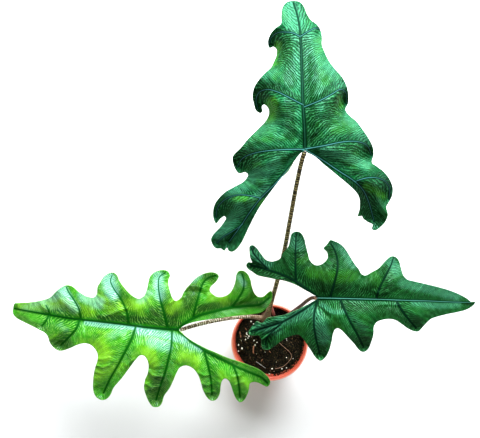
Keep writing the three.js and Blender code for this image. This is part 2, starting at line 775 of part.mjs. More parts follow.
// Soil: fills the pot, with a lumpy top and a hole that fits the corm and its roots.
const makeSoil = () => {
  const top = POT_HEIGHT - SOIL_BELOW_RIM;
  const rings = 13;
  const edge = innerRadius(top) - GAP;
  const bottom = innerRadius(FLOOR + GAP) - GAP;
  const profile = [[0, FLOOR + GAP], [bottom, FLOOR + GAP]];
  for (let i = 0; i < rings; i++) profile.push([edge * (1 - i / rings), top]);
  profile.push([0, top]);
  const geometry = turned(profile, 44);
  const random = randomNumbers(7);
  const lumps = [...Array(LUMPS.count).keys()].map(() => ({
    x: (2 * random() - 1) * edge,
    y: (2 * random() - 1) * edge,
    radius: THREE.MathUtils.lerp(...LUMPS.radius, random()),
    height: THREE.MathUtils.lerp(...LUMPS.rise, random()),
  }));
  const position = geometry.attributes.position;
  for (let i = 0; i < position.count; i++) {
    const [x, y, z] = [position.getX(i), position.getY(i), position.getZ(i)];
    const radius = Math.hypot(x, y);
    if (z < top - 1 || radius > edge - 1) continue;
    const lump = lumps.reduce(
      (sum, l) => sum + l.height * Math.exp(-((x - l.x) ** 2 + (y - l.y) ** 2) / l.radius ** 2),
      0,
    );
    position.setZ(i, z + lump - LUMPS.sink);
  }
  const holes = [makeCorm(GAP), makeSheath(GAP), shaft()];
  return toGeometry(holes.reduce((soil, hole) => soil.subtract(hole), toSolid(geometry)));
};

// The clear space above the corm's hole, so that no lump of soil leans over it.
const shaft = () => {
  const neck = 8.4 + GAP;
  const low = POT_HEIGHT - SOIL_BELOW_RIM - 4;
  const profile = [[0, low], [neck, low], [neck, STEM_TOP], [0, STEM_TOP]];
  return toSolid(turned(profile, 20).translate(STEM_X, STEM_Y, 0));
};

// The papery sheath of the next leaf, standing beside the crown in the soil.
const makeSheath = (grow) => {
  const path = [[6.4, 36.6, 74], [6, 38.3, 84], [4.8, 43, 95], [3.7, 48.5, 105], [2.6, 54.5, 114]];
  const points = path.map((p) => new THREE.Vector3(...p));
  return toSolid(tube(points, (t) => 2.5 - 1.9 * t * t + grow, 8, 8));
};

const makeStalk = (name, grow) => {
  const { path, radii, steps } = STALKS[name];
  const [base, along, end] = radii;
  const sheathing = (t) => (base - along) * Math.exp(-((t / SHEATH_SHARE) ** 2));
  const radiusAt = (t) => THREE.MathUtils.lerp(along, end, t) + sheathing(t) + grow;
  return toSolid(tube(path.map((p) => plan(...p)), radiusAt, 10, steps));
};

const group = new THREE.Group();
group.name = "potted_jacklyn_alocasia";

const add = (name, geometry, look) => {
  geometry.computeVertexNormals();
  const mesh = new THREE.Mesh(geometry, look);
  mesh.name = name;
  group.add(mesh);
};

const stalkLook = material(STALK_BROWN, 0.6);

add("pot", makePot(), material(TERRACOTTA, 0.5));
add("soil", makeSoil(), material(SOIL_BROWN, 0.95));
add("corm", toGeometry(makeCorm(0)), material(CORM_BROWN, 0.8));
add("new_leaf_sheath", toGeometry(makeSheath(0)), material(SHEATH_PINK, 0.6));

// Each stalk stops under its blade, and keeps clear of the corm and of the stalks before it.
let taken = makeCorm(GAP);
for (const [name, leaf] of Object.entries(LEAVES)) {
  const geometry = bladeGeometry(leaf);
  const blade = toSolid(geometry);
  let stalk = makeStalk(name, 0).subtract(taken);
  for (let lift = -GAP; lift < SEAT_HEIGHT; lift += BLADE / 2)
    stalk = stalk.subtract(blade.translate([0, 0, lift]));
  taken = taken.add(makeStalk(name, GAP));
  add(`stalk_${name}`, toGeometry(stalk), stalkLook);
  add(`blade_${name}`, geometry, material(leaf.color, 0.45));
}

export default group;
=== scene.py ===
# A potted jacklyn alocasia seen from straight above: three lobed, arrow-shaped leaves on mottled stalks that
# grow from one corm, in a round terracotta-coloured plastic pot of potting mix.
# Metres, +Z up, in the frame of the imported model. Heights in the leaf and stalk rows are in millimetres.

import math
import random

import bpy
import numpy as np
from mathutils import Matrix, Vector
from mathutils.geometry import delaunay_2d_cdt


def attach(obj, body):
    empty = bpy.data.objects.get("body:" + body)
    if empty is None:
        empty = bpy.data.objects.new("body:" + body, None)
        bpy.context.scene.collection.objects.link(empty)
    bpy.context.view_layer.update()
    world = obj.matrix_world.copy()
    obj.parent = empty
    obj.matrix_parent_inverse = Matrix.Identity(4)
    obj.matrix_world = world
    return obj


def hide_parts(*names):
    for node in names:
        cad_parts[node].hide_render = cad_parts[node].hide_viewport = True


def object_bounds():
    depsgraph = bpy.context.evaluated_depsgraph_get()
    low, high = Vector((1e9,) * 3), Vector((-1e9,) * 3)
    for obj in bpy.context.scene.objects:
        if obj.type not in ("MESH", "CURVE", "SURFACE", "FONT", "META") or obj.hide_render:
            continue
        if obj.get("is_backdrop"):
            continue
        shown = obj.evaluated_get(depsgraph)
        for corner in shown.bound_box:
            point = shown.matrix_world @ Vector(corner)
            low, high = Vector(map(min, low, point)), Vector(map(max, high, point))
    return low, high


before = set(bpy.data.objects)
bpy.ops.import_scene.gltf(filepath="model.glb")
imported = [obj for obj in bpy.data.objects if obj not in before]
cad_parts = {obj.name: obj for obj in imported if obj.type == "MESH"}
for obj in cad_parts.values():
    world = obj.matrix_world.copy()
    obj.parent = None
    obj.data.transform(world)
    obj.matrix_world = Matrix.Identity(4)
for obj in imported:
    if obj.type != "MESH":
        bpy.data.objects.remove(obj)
cad_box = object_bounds()

MM = 0.001

# Pot, soil and corm
POT_HEIGHT = 95 * MM
RIM_RADIUS = 55 * MM
FOOT_RADIUS = 37.5 * MM
WALL = 1.6 * MM
FLOOR = 2.4 * MM
LIP_WIDTH = 3.2 * MM
LIP_DEPTH = 4 * MM
COLLAR_DEPTH = 17 * MM
COLLAR_STEP = 1.6 * MM
WALL_LEAN = (RIM_RADIUS - LIP_WIDTH - COLLAR_STEP - FOOT_RADIUS + WALL) / (POT_HEIGHT - LIP_DEPTH)
DRAIN_HOLES = 6
DRAIN_RADIUS = 4 * MM
DRAIN_CIRCLE = 25 * MM
SOIL_TOP = POT_HEIGHT - 14 * MM
GAP = 0.35 * MM
STEM = Vector((-5 * MM, 34 * MM, 0))
STEM_TOP = 104

# The leaves are drawn on a plan, as the plant looks from a point high above it. A plan point has x to the
# right and y towards the pot's near side, and it is carried along its line of sight to its own height.
PICTURE = (480, 438)
PLAN_CENTRE = (PICTURE[0] / 2, PICTURE[1] / 2)
PLAN_POT = (269.75, 342.5)
PLAN_POT_WIDTH = 77
PLAN_UNIT = 2 * RIM_RADIUS / PLAN_POT_WIDTH
EYE_HEIGHT = 950 * MM
EYE = Vector((
    (PLAN_CENTRE[0] - PLAN_POT[0]) * PLAN_UNIT,
    (PLAN_POT[1] - PLAN_CENTRE[1]) * PLAN_UNIT,
    POT_HEIGHT + EYE_HEIGHT,
))

# Blades: the mesh's spacing on the plan, the form that the veins and the margin give, and the thickness
FINE = 0.82
COARSE = 4.6
VEIN_STEP = 2
BLADE = 0.8 * MM
VEIN_PULL = 2
VEIN_SOFTNESS = 4
VEIN_WIDTH = 0.5
MARGIN_REACH = 6
MARGIN_WAVES = 24
DROOP_REACH = 8
UNEVEN_RISE = 0.45
VEINLET_GAP = 1.4
VEINLET_LEAN = 0.55
VEINLET_RISE = 0.1
FOLD_RISE = 0.35
FOLD_EVERY = 4.6

# Length and seed of the ripples that unsettle a blade's surface, its veinlets and its folds, and how far from
# a vein the surface and the folds start and reach their full rise
UNEVEN_RIPPLE = (13, 21)
VEINLET_RIPPLE = (12, 5)
FOLD_RIPPLE = (30, 9)
UNEVEN_START = (1, 7)
FOLD_START = (1.5, 7)

# Each vein is a rib height at its root and at its end, in millimetres, and a row of (x, y, height) from its
# root to its end. Between the veins the blade puffs up: by the rise, within the reach of each vein, which a
# stout rib makes longer. A fold is its rise and reach, and the line of its crest. The outline goes round all
# the lobes from the tip.
LEAVES = {
    "upper": {
        "droop": 3.2,
        "wave": 1.2,
        "puff": {"rise": 4.6, "reach": 5.5, "reach_per_rib": 1.8},
        "veins": (
            ((3.2, 0.8), ((305, 149.5, 345), (304.5, 128, 352), (303, 105, 354), (302, 75, 348),
                (300.5, 37, 331), (298, 18, 315), (293.5, 3, 299))),
            ((1.2, 0.5), ((301, 36, 331), (309, 31, 330), (316, 28, 322), (319.5, 29.5, 313))),
            ((1.2, 0.5), ((300, 36.5, 331), (293, 33, 331), (285, 32, 327), (277, 33, 317), (271, 38, 304),
                (269.5, 44, 293))),
            ((1.6, 0.5), ((304, 107, 354), (320, 100.5, 357), (332, 94, 352), (340, 89.5, 341),
                (346, 93, 323), (346.5, 103, 306))),
            ((1.6, 0.5), ((303.5, 105, 354), (290, 98, 357), (279, 92.5, 352), (268, 89.5, 340),
                (259, 92.5, 325), (256, 101, 309), (258, 109, 298))),
            ((2, 0.5), ((305.5, 149, 345), (325, 145.5, 350), (342, 142, 347), (357, 141.5, 336),
                (367, 145.5, 320), (371.5, 155, 302))),
            ((2, 0.5), ((304.5, 149.5, 345), (288, 149.5, 350), (270, 150.5, 348), (255, 153, 338),
                (243, 158, 323), (237, 167, 306))),
            ((2.6, 0.8), ((306, 150.5, 345), (320, 158.5, 341), (338, 170.5, 333), (354, 181, 322),
                (363, 190, 308), (369, 203, 288), (374, 221, 263))),
            ((1.2, 0.5), ((355, 181.5, 321), (364, 178.5, 322), (374, 177.5, 316), (384, 180.5, 302),
                (389.5, 188, 286), (389, 199, 270))),
            ((2.6, 0.8), ((304, 150.5, 345), (290, 167, 341), (275, 184, 333), (260, 199, 322),
                (250, 212, 309), (240, 227, 293), (229, 242, 275))),
            ((1.2, 0.5), ((260, 198, 323), (249, 195.5, 322), (237, 195, 316), (226, 199, 304),
                (218, 207, 288), (216, 217, 272))),
            ((1, 0.5), ((243, 224, 296), (233, 231, 292), (223, 237, 281), (217, 243, 270))),
        ),
        "folds": (
            ((1.4, 1.8), ((295, 145), (299, 139), (301, 131))),
            ((-1.4, 1.8), ((310, 146), (312, 139), (316, 136))),
            ((1.4, 1.6), ((231, 241), (235, 235), (240, 231))),
            ((-1.2, 1.6), ((226, 246), (231, 237), (236, 230))),
        ),
        "outline": (
            (293, 0.8), (300, 2), (304, 7), (307, 14), (311, 20), (317, 24.5), (320.5, 30), (322, 37),
            (322, 45), (325, 53), (329, 61), (335, 69), (342, 77), (346.3, 85), (348.3, 94), (348, 103),
            (345.5, 109.8), (350, 116), (356, 121), (363, 130), (369, 139), (372.8, 147), (373.6, 154),
            (372, 162.5), (377, 166.5), (384, 172), (390, 180), (392.8, 188), (392, 196), (387.5, 204.5),
            (386.3, 207), (387.7, 214), (386, 220), (381, 226), (375, 230), (372, 228.5), (372.8, 224.5),
            (368, 222), (364, 219), (362, 216), (358.5, 216.5), (358.8, 213.5), (360, 209), (359.6, 198),
            (356, 192), (350, 186), (340, 177.5), (325, 165), (314, 155.8), (308, 152), (304.8, 150.8),
            (302, 152), (297, 157), (285, 173), (272, 190), (260, 206.5), (254, 217), (247, 231),
            (242, 241), (237, 248), (232, 251.5), (228.5, 250.5), (227, 247.5), (224, 250.5), (221, 248.5),
            (216, 248), (212.5, 244), (211.3, 239), (214, 234), (220, 227.5), (224, 222), (226, 218.3),
            (224.5, 216.3), (220, 218.5), (216, 223), (214, 219), (213, 213), (214.5, 205), (219, 198),
            (226, 191.5), (234, 187), (243, 182), (247, 177.5), (248, 174.5), (244.5, 172), (239, 173),
            (235, 168), (232.5, 159), (234, 155), (241, 147.5), (248, 139), (257, 130), (264, 123),
            (267.5, 118), (269, 113), (268, 108), (264, 104.5), (261.5, 107), (262, 111), (260, 112.7),
            (256, 110), (254, 104), (252.5, 97), (254, 88), (258, 81), (265, 73), (271, 67.5), (274, 61.5),
            (276.5, 55), (276.5, 49.5), (273, 46.5), (269.5, 47.5), (268, 42), (270, 35), (275, 28.5),
            (281, 23.5), (281.5, 15), (283, 7), (287, 2),
        ),
    },
    "left": {
        "droop": 1.4,
        "wave": 1.6,
        "puff": {"rise": 5.2, "reach": 3.2, "reach_per_rib": 2},
        "veins": (
            ((3.2, 0.8), ((179, 329.5, 200), (165, 328.8, 204), (145, 327, 208), (120, 323.8, 210),
                (95, 321, 208), (70, 318.3, 203), (45, 314, 195), (25, 310.5, 186), (14.5, 308.5, 180))),
            ((1, 0.5), ((50, 315, 197), (48.5, 310, 200), (46, 305.5, 200))),
            ((1.4, 0.5), ((81, 319.5, 206), (79, 309, 212), (74, 300, 213), (68.5, 292, 209),
                (66.5, 287.5, 204))),
            ((1.6, 0.5), ((129, 325, 210), (126.5, 311, 217), (121, 299, 219), (114, 289, 215),
                (110.5, 281, 208), (112, 275.5, 202))),
            ((1.8, 0.5), ((168, 329, 203), (164, 312, 213), (160.5, 300, 216), (158.5, 287, 213),
                (159.5, 277, 206), (165, 273, 200))),
            ((2.2, 0.8), ((178.5, 329, 200), (186, 322.5, 204), (198, 316, 207), (213, 311.8, 207),
                (230, 307.8, 203), (247, 306, 197), (260, 304.5, 190), (269, 298, 181))),
            ((1.4, 0.5), ((193, 318.5, 206), (196, 305, 213), (199.5, 293, 213), (203, 283, 208),
                (209, 277.5, 200), (215.5, 275.5, 191))),
            ((1.2, 0.5), ((231, 307.6, 202.5), (238, 299, 207), (243, 290, 208), (244, 281, 203),
                (242, 274, 196))),
            ((1, 0.5), ((49, 315, 196.5), (46, 321, 199), (42, 326, 197))),
            ((1.4, 0.5), ((80, 319.5, 206), (76, 329, 209), (69, 337, 203), (61, 345, 190))),
            ((1.8, 0.5), ((136, 326, 209), (131.5, 339, 216), (125, 352, 216), (117.5, 366, 210),
                (110, 379, 200), (103.5, 393, 186))),
            ((1.8, 0.5), ((172, 329.5, 201), (171.5, 344, 211), (169, 357, 213), (165.5, 371, 208),
                (161, 384, 198), (156, 400, 182))),
            ((2.2, 0.8), ((178.5, 330.5, 200), (190, 340.5, 203), (205, 350.5, 203), (220, 358.5, 200),
                (236, 366.5, 195), (250, 372.5, 190), (262, 377.5, 184), (267.5, 383, 178))),
            ((1.4, 0.5), ((204, 350, 203), (208, 365, 205), (211, 380, 198), (212, 395, 186))),
            ((1.2, 0.5), ((233, 365.2, 196), (237, 375, 197), (239, 386, 190), (240, 397, 179))),
        ),
        "folds": (
            ((1.8, 1.6), ((97, 359.5), (103, 359), (109, 357.5))),
            ((2, 1.5), ((97, 366), (103, 367), (109, 365))),
            ((1.4, 1.5), ((97, 372.5), (103, 373.5), (107, 371))),
            ((2.4, 1.9), ((148, 371.5), (154, 376), (162, 376.5))),
            ((-1.4, 1.7), ((147.5, 367), (154, 369.5), (161, 369))),
            ((2.2, 1.8), ((146.5, 384), (152, 387.5), (159, 386.5))),
            ((1.8, 1.5), ((199, 373), (204, 375.5), (209, 375))),
            ((1.8, 1.4), ((201, 383), (206, 385.5), (211, 384))),
            ((1.6, 1.4), ((205, 391), (209, 393), (213, 391.5))),
            ((1.5, 1.5), ((233.5, 377), (239, 376), (243, 374))),
            ((1.4, 1.4), ((235, 385), (240, 383), (244, 382))),
            ((2.4, 2.2), ((185, 287), (192, 285.5), (199, 286.5), (206, 289))),
            ((-2.4, 2.2), ((184, 293), (192, 291.5), (199, 292), (205, 295.5))),
            ((1.8, 2), ((104, 317), (114, 313), (126, 308.5))),
            ((1.6, 1.8), ((170, 303), (176, 299), (183, 297))),
            ((1.4, 1.6), ((136, 359), (130, 362), (127, 366))),
        ),
        "outline": (
            (13, 309), (14.5, 303.6), (18, 303.2), (30, 302.5), (40, 300.8), (50, 297.5), (55, 292.5),
            (61, 287.5), (67, 285.3), (72, 286.5), (79, 292), (87, 296.5), (94, 297.3), (96.7, 294),
            (97.5, 287), (101, 281), (104, 276.5), (109, 273.3), (113, 272.6), (116.5, 275), (119.5, 281),
            (125, 288.5), (132, 295.5), (139, 298.7), (144, 296), (147, 289), (148.5, 282), (150.5, 276),
            (155, 272), (161, 270.2), (167, 271), (169.8, 275), (168.5, 279), (168.5, 285), (170, 291),
            (172, 297), (175.5, 301), (180, 299), (184, 292), (189, 285.5), (195, 279), (202, 274.5),
            (209, 272.5), (215, 273), (218.5, 276), (216, 281.5), (211, 286.5), (209.8, 290.5),
            (212.5, 294), (218, 297), (224, 296.5), (229.5, 293.5), (233, 288), (235.5, 281), (236.5, 275),
            (239, 271.3), (243, 271), (247.5, 274), (250.5, 280), (252, 287), (255, 294), (259, 297),
            (264, 296.5), (268, 293), (271, 291.3), (272.2, 294.5), (271, 301), (267, 307.5), (261.5, 312),
            (254, 313.8), (245, 315), (235, 315.8), (225, 317.3), (212, 319), (200, 320.8), (190, 323.2),
            (183, 326.3), (179.3, 330.2), (184, 334.8), (190, 339.5), (202, 346.5), (215, 352.5),
            (228, 358), (240, 362), (252, 366.5), (260, 370), (266, 375), (269.5, 379.5), (270, 383.3),
            (267.5, 386.5), (264, 385.5), (259, 383), (254, 382), (250, 383.5), (249, 389), (247, 395),
            (243.5, 400.5), (240, 402), (237, 399.5), (234, 394), (231, 385.5), (228.5, 380.5),
            (225, 378.5), (222, 381), (220.5, 387), (219.5, 394), (216, 399.5), (211.5, 400.5), (207, 397),
            (203, 390), (200.5, 381), (197.5, 374), (193, 368.5), (186, 365.5), (180, 367.5), (177, 372),
            (173, 381), (169, 389), (164, 396), (161.5, 403), (158.5, 406.5), (153, 406.5), (149.5, 402.5),
            (146, 395), (144, 388), (145, 380.5), (148, 372), (148.5, 365), (147, 359.5), (144, 355.8),
            (140, 355.5), (135, 360.5), (129, 368.5), (121, 379), (113, 388.5), (110, 395), (106, 399),
            (101, 399.8), (96, 396.5), (93.3, 390), (93.3, 378), (95, 368), (97.5, 360), (97.5, 354),
            (95, 349), (90, 344.5), (84, 343.3), (77, 345), (69, 348.5), (60, 350.5), (54.5, 348),
            (50, 343), (47.5, 336), (44.5, 332.5), (38, 329), (30, 325), (22, 321), (16, 317.5),
            (13, 313.5),
        ),
    },
    "right": {
        "droop": 2.2,
        "wave": 1.2,
        "puff": {"rise": 4.4, "reach": 3.6, "reach_per_rib": 1.8},
        "veins": (
            ((3.2, 0.8), ((318, 298, 255), (335, 298.3, 259), (355, 298.8, 262), (380, 299.4, 262),
                (405, 300.3, 258), (430, 301, 251), (452, 302, 243), (468, 302.4, 235),
                (474.5, 302.4, 230))),
            ((1.6, 0.5), ((376, 299, 262), (380, 287, 267), (386, 275, 266), (391, 265, 258),
                (393, 259, 250))),
            ((1.8, 0.5), ((330, 298, 258), (334, 284, 266), (337, 272, 269), (337.5, 261, 264),
                (335, 251, 255), (331, 244, 246))),
            ((2.2, 0.8), ((317.5, 297, 255), (306, 288.5, 259), (295, 281, 260), (283, 275, 258),
                (270, 270.5, 254), (258, 267, 248), (250, 264.5, 242))),
            ((1.4, 0.5), ((296, 281.5, 260), (295.5, 266, 264), (295.5, 251, 261), (296, 238, 252))),
            ((1.2, 0.5), ((269, 270, 253.5), (261, 262, 255), (254, 254, 250), (251.5, 248, 244))),
            ((1.6, 0.5), ((396, 300, 260), (401, 309, 263), (408, 318.5, 259), (416, 328, 248))),
            ((1.8, 0.5), ((340, 298.5, 260), (345, 311, 267), (351, 323, 266), (357.5, 334.5, 259),
                (363.5, 347, 246))),
            ((1.8, 0.5), ((318, 299, 255), (314.5, 312, 263), (314, 325, 264), (316, 338, 256),
                (320, 355, 241))),
            ((2.2, 0.8), ((317, 299.5, 255), (306, 308, 258), (294, 315.5, 255), (283, 321.5, 249),
                (272, 325.5, 241), (260, 329, 233), (251, 331.5, 227))),
            ((1, 0.5), ((284, 321, 249.5), (274, 330, 243), (267, 338, 236), (265.5, 345, 230))),
        ),
        "folds": (
            ((2, 1.5), ((252, 329.5), (262, 325.5), (272, 321.5), (281, 319.5))),
            ((-2, 1.3), ((255, 333), (265, 328.5), (277, 323.5))),
            ((2.4, 1.4), ((257, 335), (268, 330), (279, 325))),
            ((-1.8, 1.2), ((261, 336.5), (271, 331.5), (280, 326.5))),
            ((2.4, 1.5), ((262, 339), (270.5, 334), (280, 327.5))),
            ((-2.2, 1.5), ((267, 343), (272.5, 336), (280, 330))),
            ((1.8, 1.8), ((320, 304), (325, 309), (331, 313))),
            ((-1.2, 1.6), ((321, 309), (325, 314), (330, 318))),
            ((1.4, 1.4), ((326, 262), (330, 264), (334, 265))),
            ((1.4, 1.4), ((325, 254), (329, 257), (333, 258))),
            ((1.4, 1.4), ((325, 246), (330, 249), (333, 251))),
            ((1.8, 1.8), ((374, 291), (380, 293.5), (387, 292))),
            ((1.2, 1.6), ((378, 305), (388, 304.5), (400, 305))),
            ((1.4, 1.5), ((288, 249), (293, 252), (299, 252))),
            ((1.3, 1.5), ((303, 251), (307, 249), (309, 246))),
        ),
        "outline": (
            (475.3, 302), (471.5, 302), (467, 298.5), (460, 294.6), (450, 290.5), (440, 287.5), (430, 285),
            (420, 282.7), (412, 280.8), (407.5, 279.5), (403.5, 275.5), (401, 268), (399, 261),
            (396, 257.3), (392.5, 256.3), (389, 257.8), (384, 262.5), (379, 268), (372, 272), (365, 275.5),
            (361, 273.5), (359, 269.5), (355, 264.5), (350, 256.5), (345, 248.5), (340, 243.8),
            (334, 241.2), (330.5, 240.2), (327.5, 244), (323.8, 248.2), (326.5, 251), (328, 256),
            (326.5, 260), (322, 264), (318, 265.3), (314, 264.5), (310, 260.5), (308, 254), (306, 246),
            (304, 238.5), (300.5, 232.8), (296, 231.8), (292, 234), (290.3, 239), (289, 245), (287, 248.5),
            (283, 253), (280, 258.5), (275, 261), (270.5, 261.5), (265.5, 259.5), (261, 254), (256.5, 248),
            (252.5, 245.3), (250, 246.3), (249.5, 252), (250.3, 258), (252, 262.6), (248.5, 262.5),
            (246.5, 265), (248, 268.5), (252, 271.5), (257, 275), (265, 277), (275, 279), (285, 281),
            (295, 284.5), (305, 290), (312, 294), (317.2, 298), (312, 302), (305, 306), (298, 309.5),
            (290, 312.8), (283, 315.3), (275, 316.8), (268, 318), (265, 319.8), (263, 322.5), (260, 323),
            (256.5, 321.5), (254, 324), (251, 327.5), (248.5, 332), (250, 335), (254, 335.3), (259, 335.8),
            (261, 339), (261.5, 344), (263, 348.5), (268, 349.5), (274, 346.5), (280, 342), (287, 337.5),
            (293, 335.3), (298.5, 334.8), (302, 337.5), (306, 343), (311, 350.5), (316, 357.5),
            (320.5, 360.5), (325, 357.5), (329, 350.5), (331.5, 342), (333, 334), (335, 329.5),
            (337.5, 328.3), (341, 329.8), (347, 336), (354, 343.5), (359.5, 350), (363.5, 351.8),
            (368, 349), (371.5, 341.5), (373.5, 334), (374, 326.5), (377, 322), (383, 319.7), (389, 319),
            (395, 320), (401, 323.5), (408, 328.5), (414, 331), (418, 331.3), (421.5, 328.5), (426, 323.5),
            (431, 319), (438, 316.5), (448, 314), (458, 312), (465, 310.2), (470.5, 307.5), (474, 304.5),
        ),
    },
}

# Each stalk is its radius at the sheathing base, along its length and under the blade, in millimetres, and a
# row of (x, y, height) from the crown to its blade.
STALKS = {
    "upper": ((6, 3.1, 2.5), (
        (266.2, 319.2, STEM_TOP), (266.6, 318.5, 112), (268.3, 312, 128), (272.5, 298, 152),
        (277.5, 280, 179), (284.5, 250, 220), (290, 220, 260), (296.5, 185, 304), (302, 160, 334),
        (304.4, 152.4, 341.8), (304.9, 148.6, 344.4),
    )),
    "left": ((5, 3, 2.5), (
        (266, 319.4, 92), (262, 318.6, 96), (257, 317.4, 102), (248, 316.6, 113), (235, 317.4, 129),
        (220, 319.6, 147), (205, 322.8, 166), (190, 326.8, 186), (181, 329.6, 196.8), (177, 329.8, 199.6),
    )),
    "right": ((4.6, 2.6, 2.2), (
        (266.5, 319.5, 88), (270, 320.2, 96), (276, 320, 116), (286, 316.2, 156), (296, 309.4, 196),
        (303, 304.1, 223), (308, 300, 240), (312.5, 297.8, 248.5), (316, 298, 252), (319.5, 298, 254.4),
    )),
}

# Broad marks on the upper faces: painted pale bluish sheen, painted dark shade and fresh yellow green. Each
# has its share and its reach in plan units, and the line that it lies along.
MARKS = {
    "upper": {
        "painted_sheen": (
            ((0.8, 11), ((292, 8), (296, 24))), ((0.35, 9), ((312, 30), (316, 50), (322, 64))),
            ((0.7, 8), ((328, 66), (337, 76), (342, 84))), ((0.5, 7), ((262, 76), (274, 72))),
            ((0.25, 3), ((294, 40), (296, 90), (298, 132))),
            ((0.5, 10), ((246, 138), (258, 130), (272, 126))),
            ((0.65, 9), ((350, 116), (357, 126), (366, 138))),
            ((0.95, 5), ((324, 152), (346, 157), (366, 165))),
            ((1, 6), ((232, 192), (242, 186), (258, 172))), ((0.9, 6), ((262, 176), (276, 162))),
            ((0.9, 5), ((250, 204), (266, 188))), ((1, 6), ((220, 234), (230, 222), (240, 208))),
            ((0.5, 4), ((384, 178), (390, 190))),
        ),
        "shade": (
            ((0.9, 6), ((254, 98), (262, 90), (276, 88))), ((0.8, 5), ((282, 92), (298, 98))),
            ((0.95, 9), ((304, 42), (308, 62), (310, 84))), ((0.85, 8), ((288, 40), (290, 82))),
            ((0.9, 9), ((310, 92), (312, 114), (310, 138))), ((0.75, 8), ((290, 104), (290, 134))),
            ((0.8, 8), ((326, 94), (330, 108), (326, 122))),
            ((0.9, 7), ((236, 158), (256, 156), (280, 152))),
            ((0.6, 6), ((330, 148), (350, 146), (368, 150))),
            ((0.95, 11), ((366, 196), (370, 212), (378, 222))), ((0.6, 4), ((352, 172), (372, 182))),
            ((0.95, 7), ((216, 244), (230, 246))), ((0.6, 5), ((222, 204), (232, 206))),
            ((0.5, 4), ((286, 31), (308, 31))),
        ),
        "fresh": (
            ((0.9, 7), ((272, 104), (268, 116))), ((0.7, 4), ((278, 44), (274, 58))),
            ((0.6, 6), ((266, 66), (272, 62))), ((0.4, 4), ((340, 98), (341, 106))),
            ((0.5, 6), ((236, 198), (262, 202))), ((0.5, 5), ((366, 186), (384, 196))),
        ),
    },
    "left": {
        "painted_sheen": (
            ((0.6, 7), ((34, 303), (56, 297))), ((0.85, 6), ((62, 290), (68, 300), (74, 308))),
            ((0.9, 7), ((84, 296), (98, 303))), ((0.4, 6), ((24, 307), (44, 306), (64, 308))),
            ((0.85, 8), ((108, 278), (112, 292))), ((0.85, 6), ((158, 276), (160, 296))),
            ((0.5, 6), ((140, 300), (150, 292))), ((0.95, 2.5), ((86, 323), (110, 326), (140, 328))),
            ((0.85, 4.5), ((140, 331), (160, 334), (184, 340))), ((0.7, 7), ((152, 342), (166, 346))),
            ((0.4, 6), ((110, 336), (124, 330))), ((0.6, 4), ((190, 280), (200, 276))),
            ((0.55, 4), ((238, 276), (244, 284))), ((0.5, 4), ((186, 344), (200, 350))),
            ((0.35, 5), ((60, 325), (66, 330))),
        ),
        "shade": (
            ((0.9, 4), ((100, 318), (140, 320), (180, 325))), ((0.8, 7), ((154, 312), (172, 314))),
            ((0.8, 8), ((194, 288), (188, 304))), ((0.75, 5), ((200, 308), (230, 305), (262, 304))),
            ((0.9, 7), ((50, 346), (66, 346))), ((0.95, 5), ((146, 403), (158, 402))),
            ((0.6, 4), ((18, 317), (34, 324), (46, 330))), ((0.5, 4), ((98, 398), (106, 397))),
            ((0.95, 9), ((146, 398), (156, 392), (160, 384))), ((0.8, 5), ((210, 396), (216, 396))),
            ((0.5, 5), ((236, 398), (244, 396))), ((0.7, 3), ((196, 346), (216, 356), (236, 364))),
            ((0.5, 5), ((114, 292), (124, 308))), ((0.6, 6), ((206, 276), (214, 282))),
        ),
        "fresh": (
            ((0.8, 9), ((100, 346), (104, 356))), ((0.9, 6), ((22, 306), (48, 304), (66, 303))),
            ((0.7, 7), ((122, 306), (140, 304))), ((0.9, 7), ((148, 352), (152, 362))),
            ((0.8, 6), ((176, 302), (170, 310))), ((0.6, 8), ((70, 306), (90, 312))),
            ((0.6, 8), ((184, 356), (196, 360))), ((0.6, 8), ((214, 292), (224, 298))),
            ((0.5, 8), ((236, 378), (248, 384))), ((0.5, 8), ((98, 376), (120, 366))),
            ((0.5, 5), ((104, 306), (112, 310))),
        ),
    },
    "right": {
        "painted_sheen": (
            ((1, 7), ((292, 236), (298, 244))), ((1, 6), ((248, 248), (258, 256), (268, 262))),
            ((0.85, 6), ((336, 242), (346, 252), (354, 264))), ((0.75, 6), ((390, 260), (398, 272))),
            ((1, 6), ((404, 283), (430, 288), (456, 295))),
            ((0.65, 4), ((414, 303), (440, 306), (458, 305))),
            ((0.9, 7), ((280, 320), (300, 314), (310, 310))), ((0.85, 7), ((318, 316), (324, 338))),
            ((0.75, 3), ((322, 305), (334, 312), (344, 312))),
            ((0.3, 2.5), ((350, 301), (380, 303), (400, 304))), ((0.4, 6), ((352, 318), (364, 328))),
            ((0.75, 8), ((254, 324), (276, 328))),
        ),
        "shade": (
            ((0.85, 7), ((298, 258), (312, 268), (326, 270))),
            ((0.75, 6), ((344, 306), (372, 309), (400, 313))), ((0.7, 5), ((372, 288), (384, 290))),
            ((0.85, 9), ((318, 284), (340, 284))), ((0.8, 5), ((330, 250), (336, 266))),
            ((0.6, 7), ((382, 268), (390, 284))), ((0.9, 7), ((356, 346), (366, 342))),
            ((0.85, 7), ((410, 326), (420, 324))), ((0.8, 7), ((316, 352), (322, 350))),
            ((0.7, 5), ((252, 268), (276, 276), (300, 286))), ((0.5, 8), ((360, 290), (372, 284))),
            ((0.5, 5), ((430, 316), (450, 312))),
        ),
        "fresh": (
            ((0.5, 7), ((372, 272), (378, 282))), ((0.7, 8), ((312, 272), (330, 276), (352, 276))),
            ((0.5, 7), ((340, 328), (336, 324))), ((0.5, 5), ((300, 262), (310, 256))),
        ),
    },
}


# Colours and node helpers


def tint(red, green, blue):
    """A linear colour from the red, green and blue that a screen shows, each 0 to 255."""
    linear = [c / 255 / 12.92 if c <= 10 else ((c / 255 + 0.055) / 1.055) ** 2.4 for c in (red, green, blue)]
    return (*linear, 1)


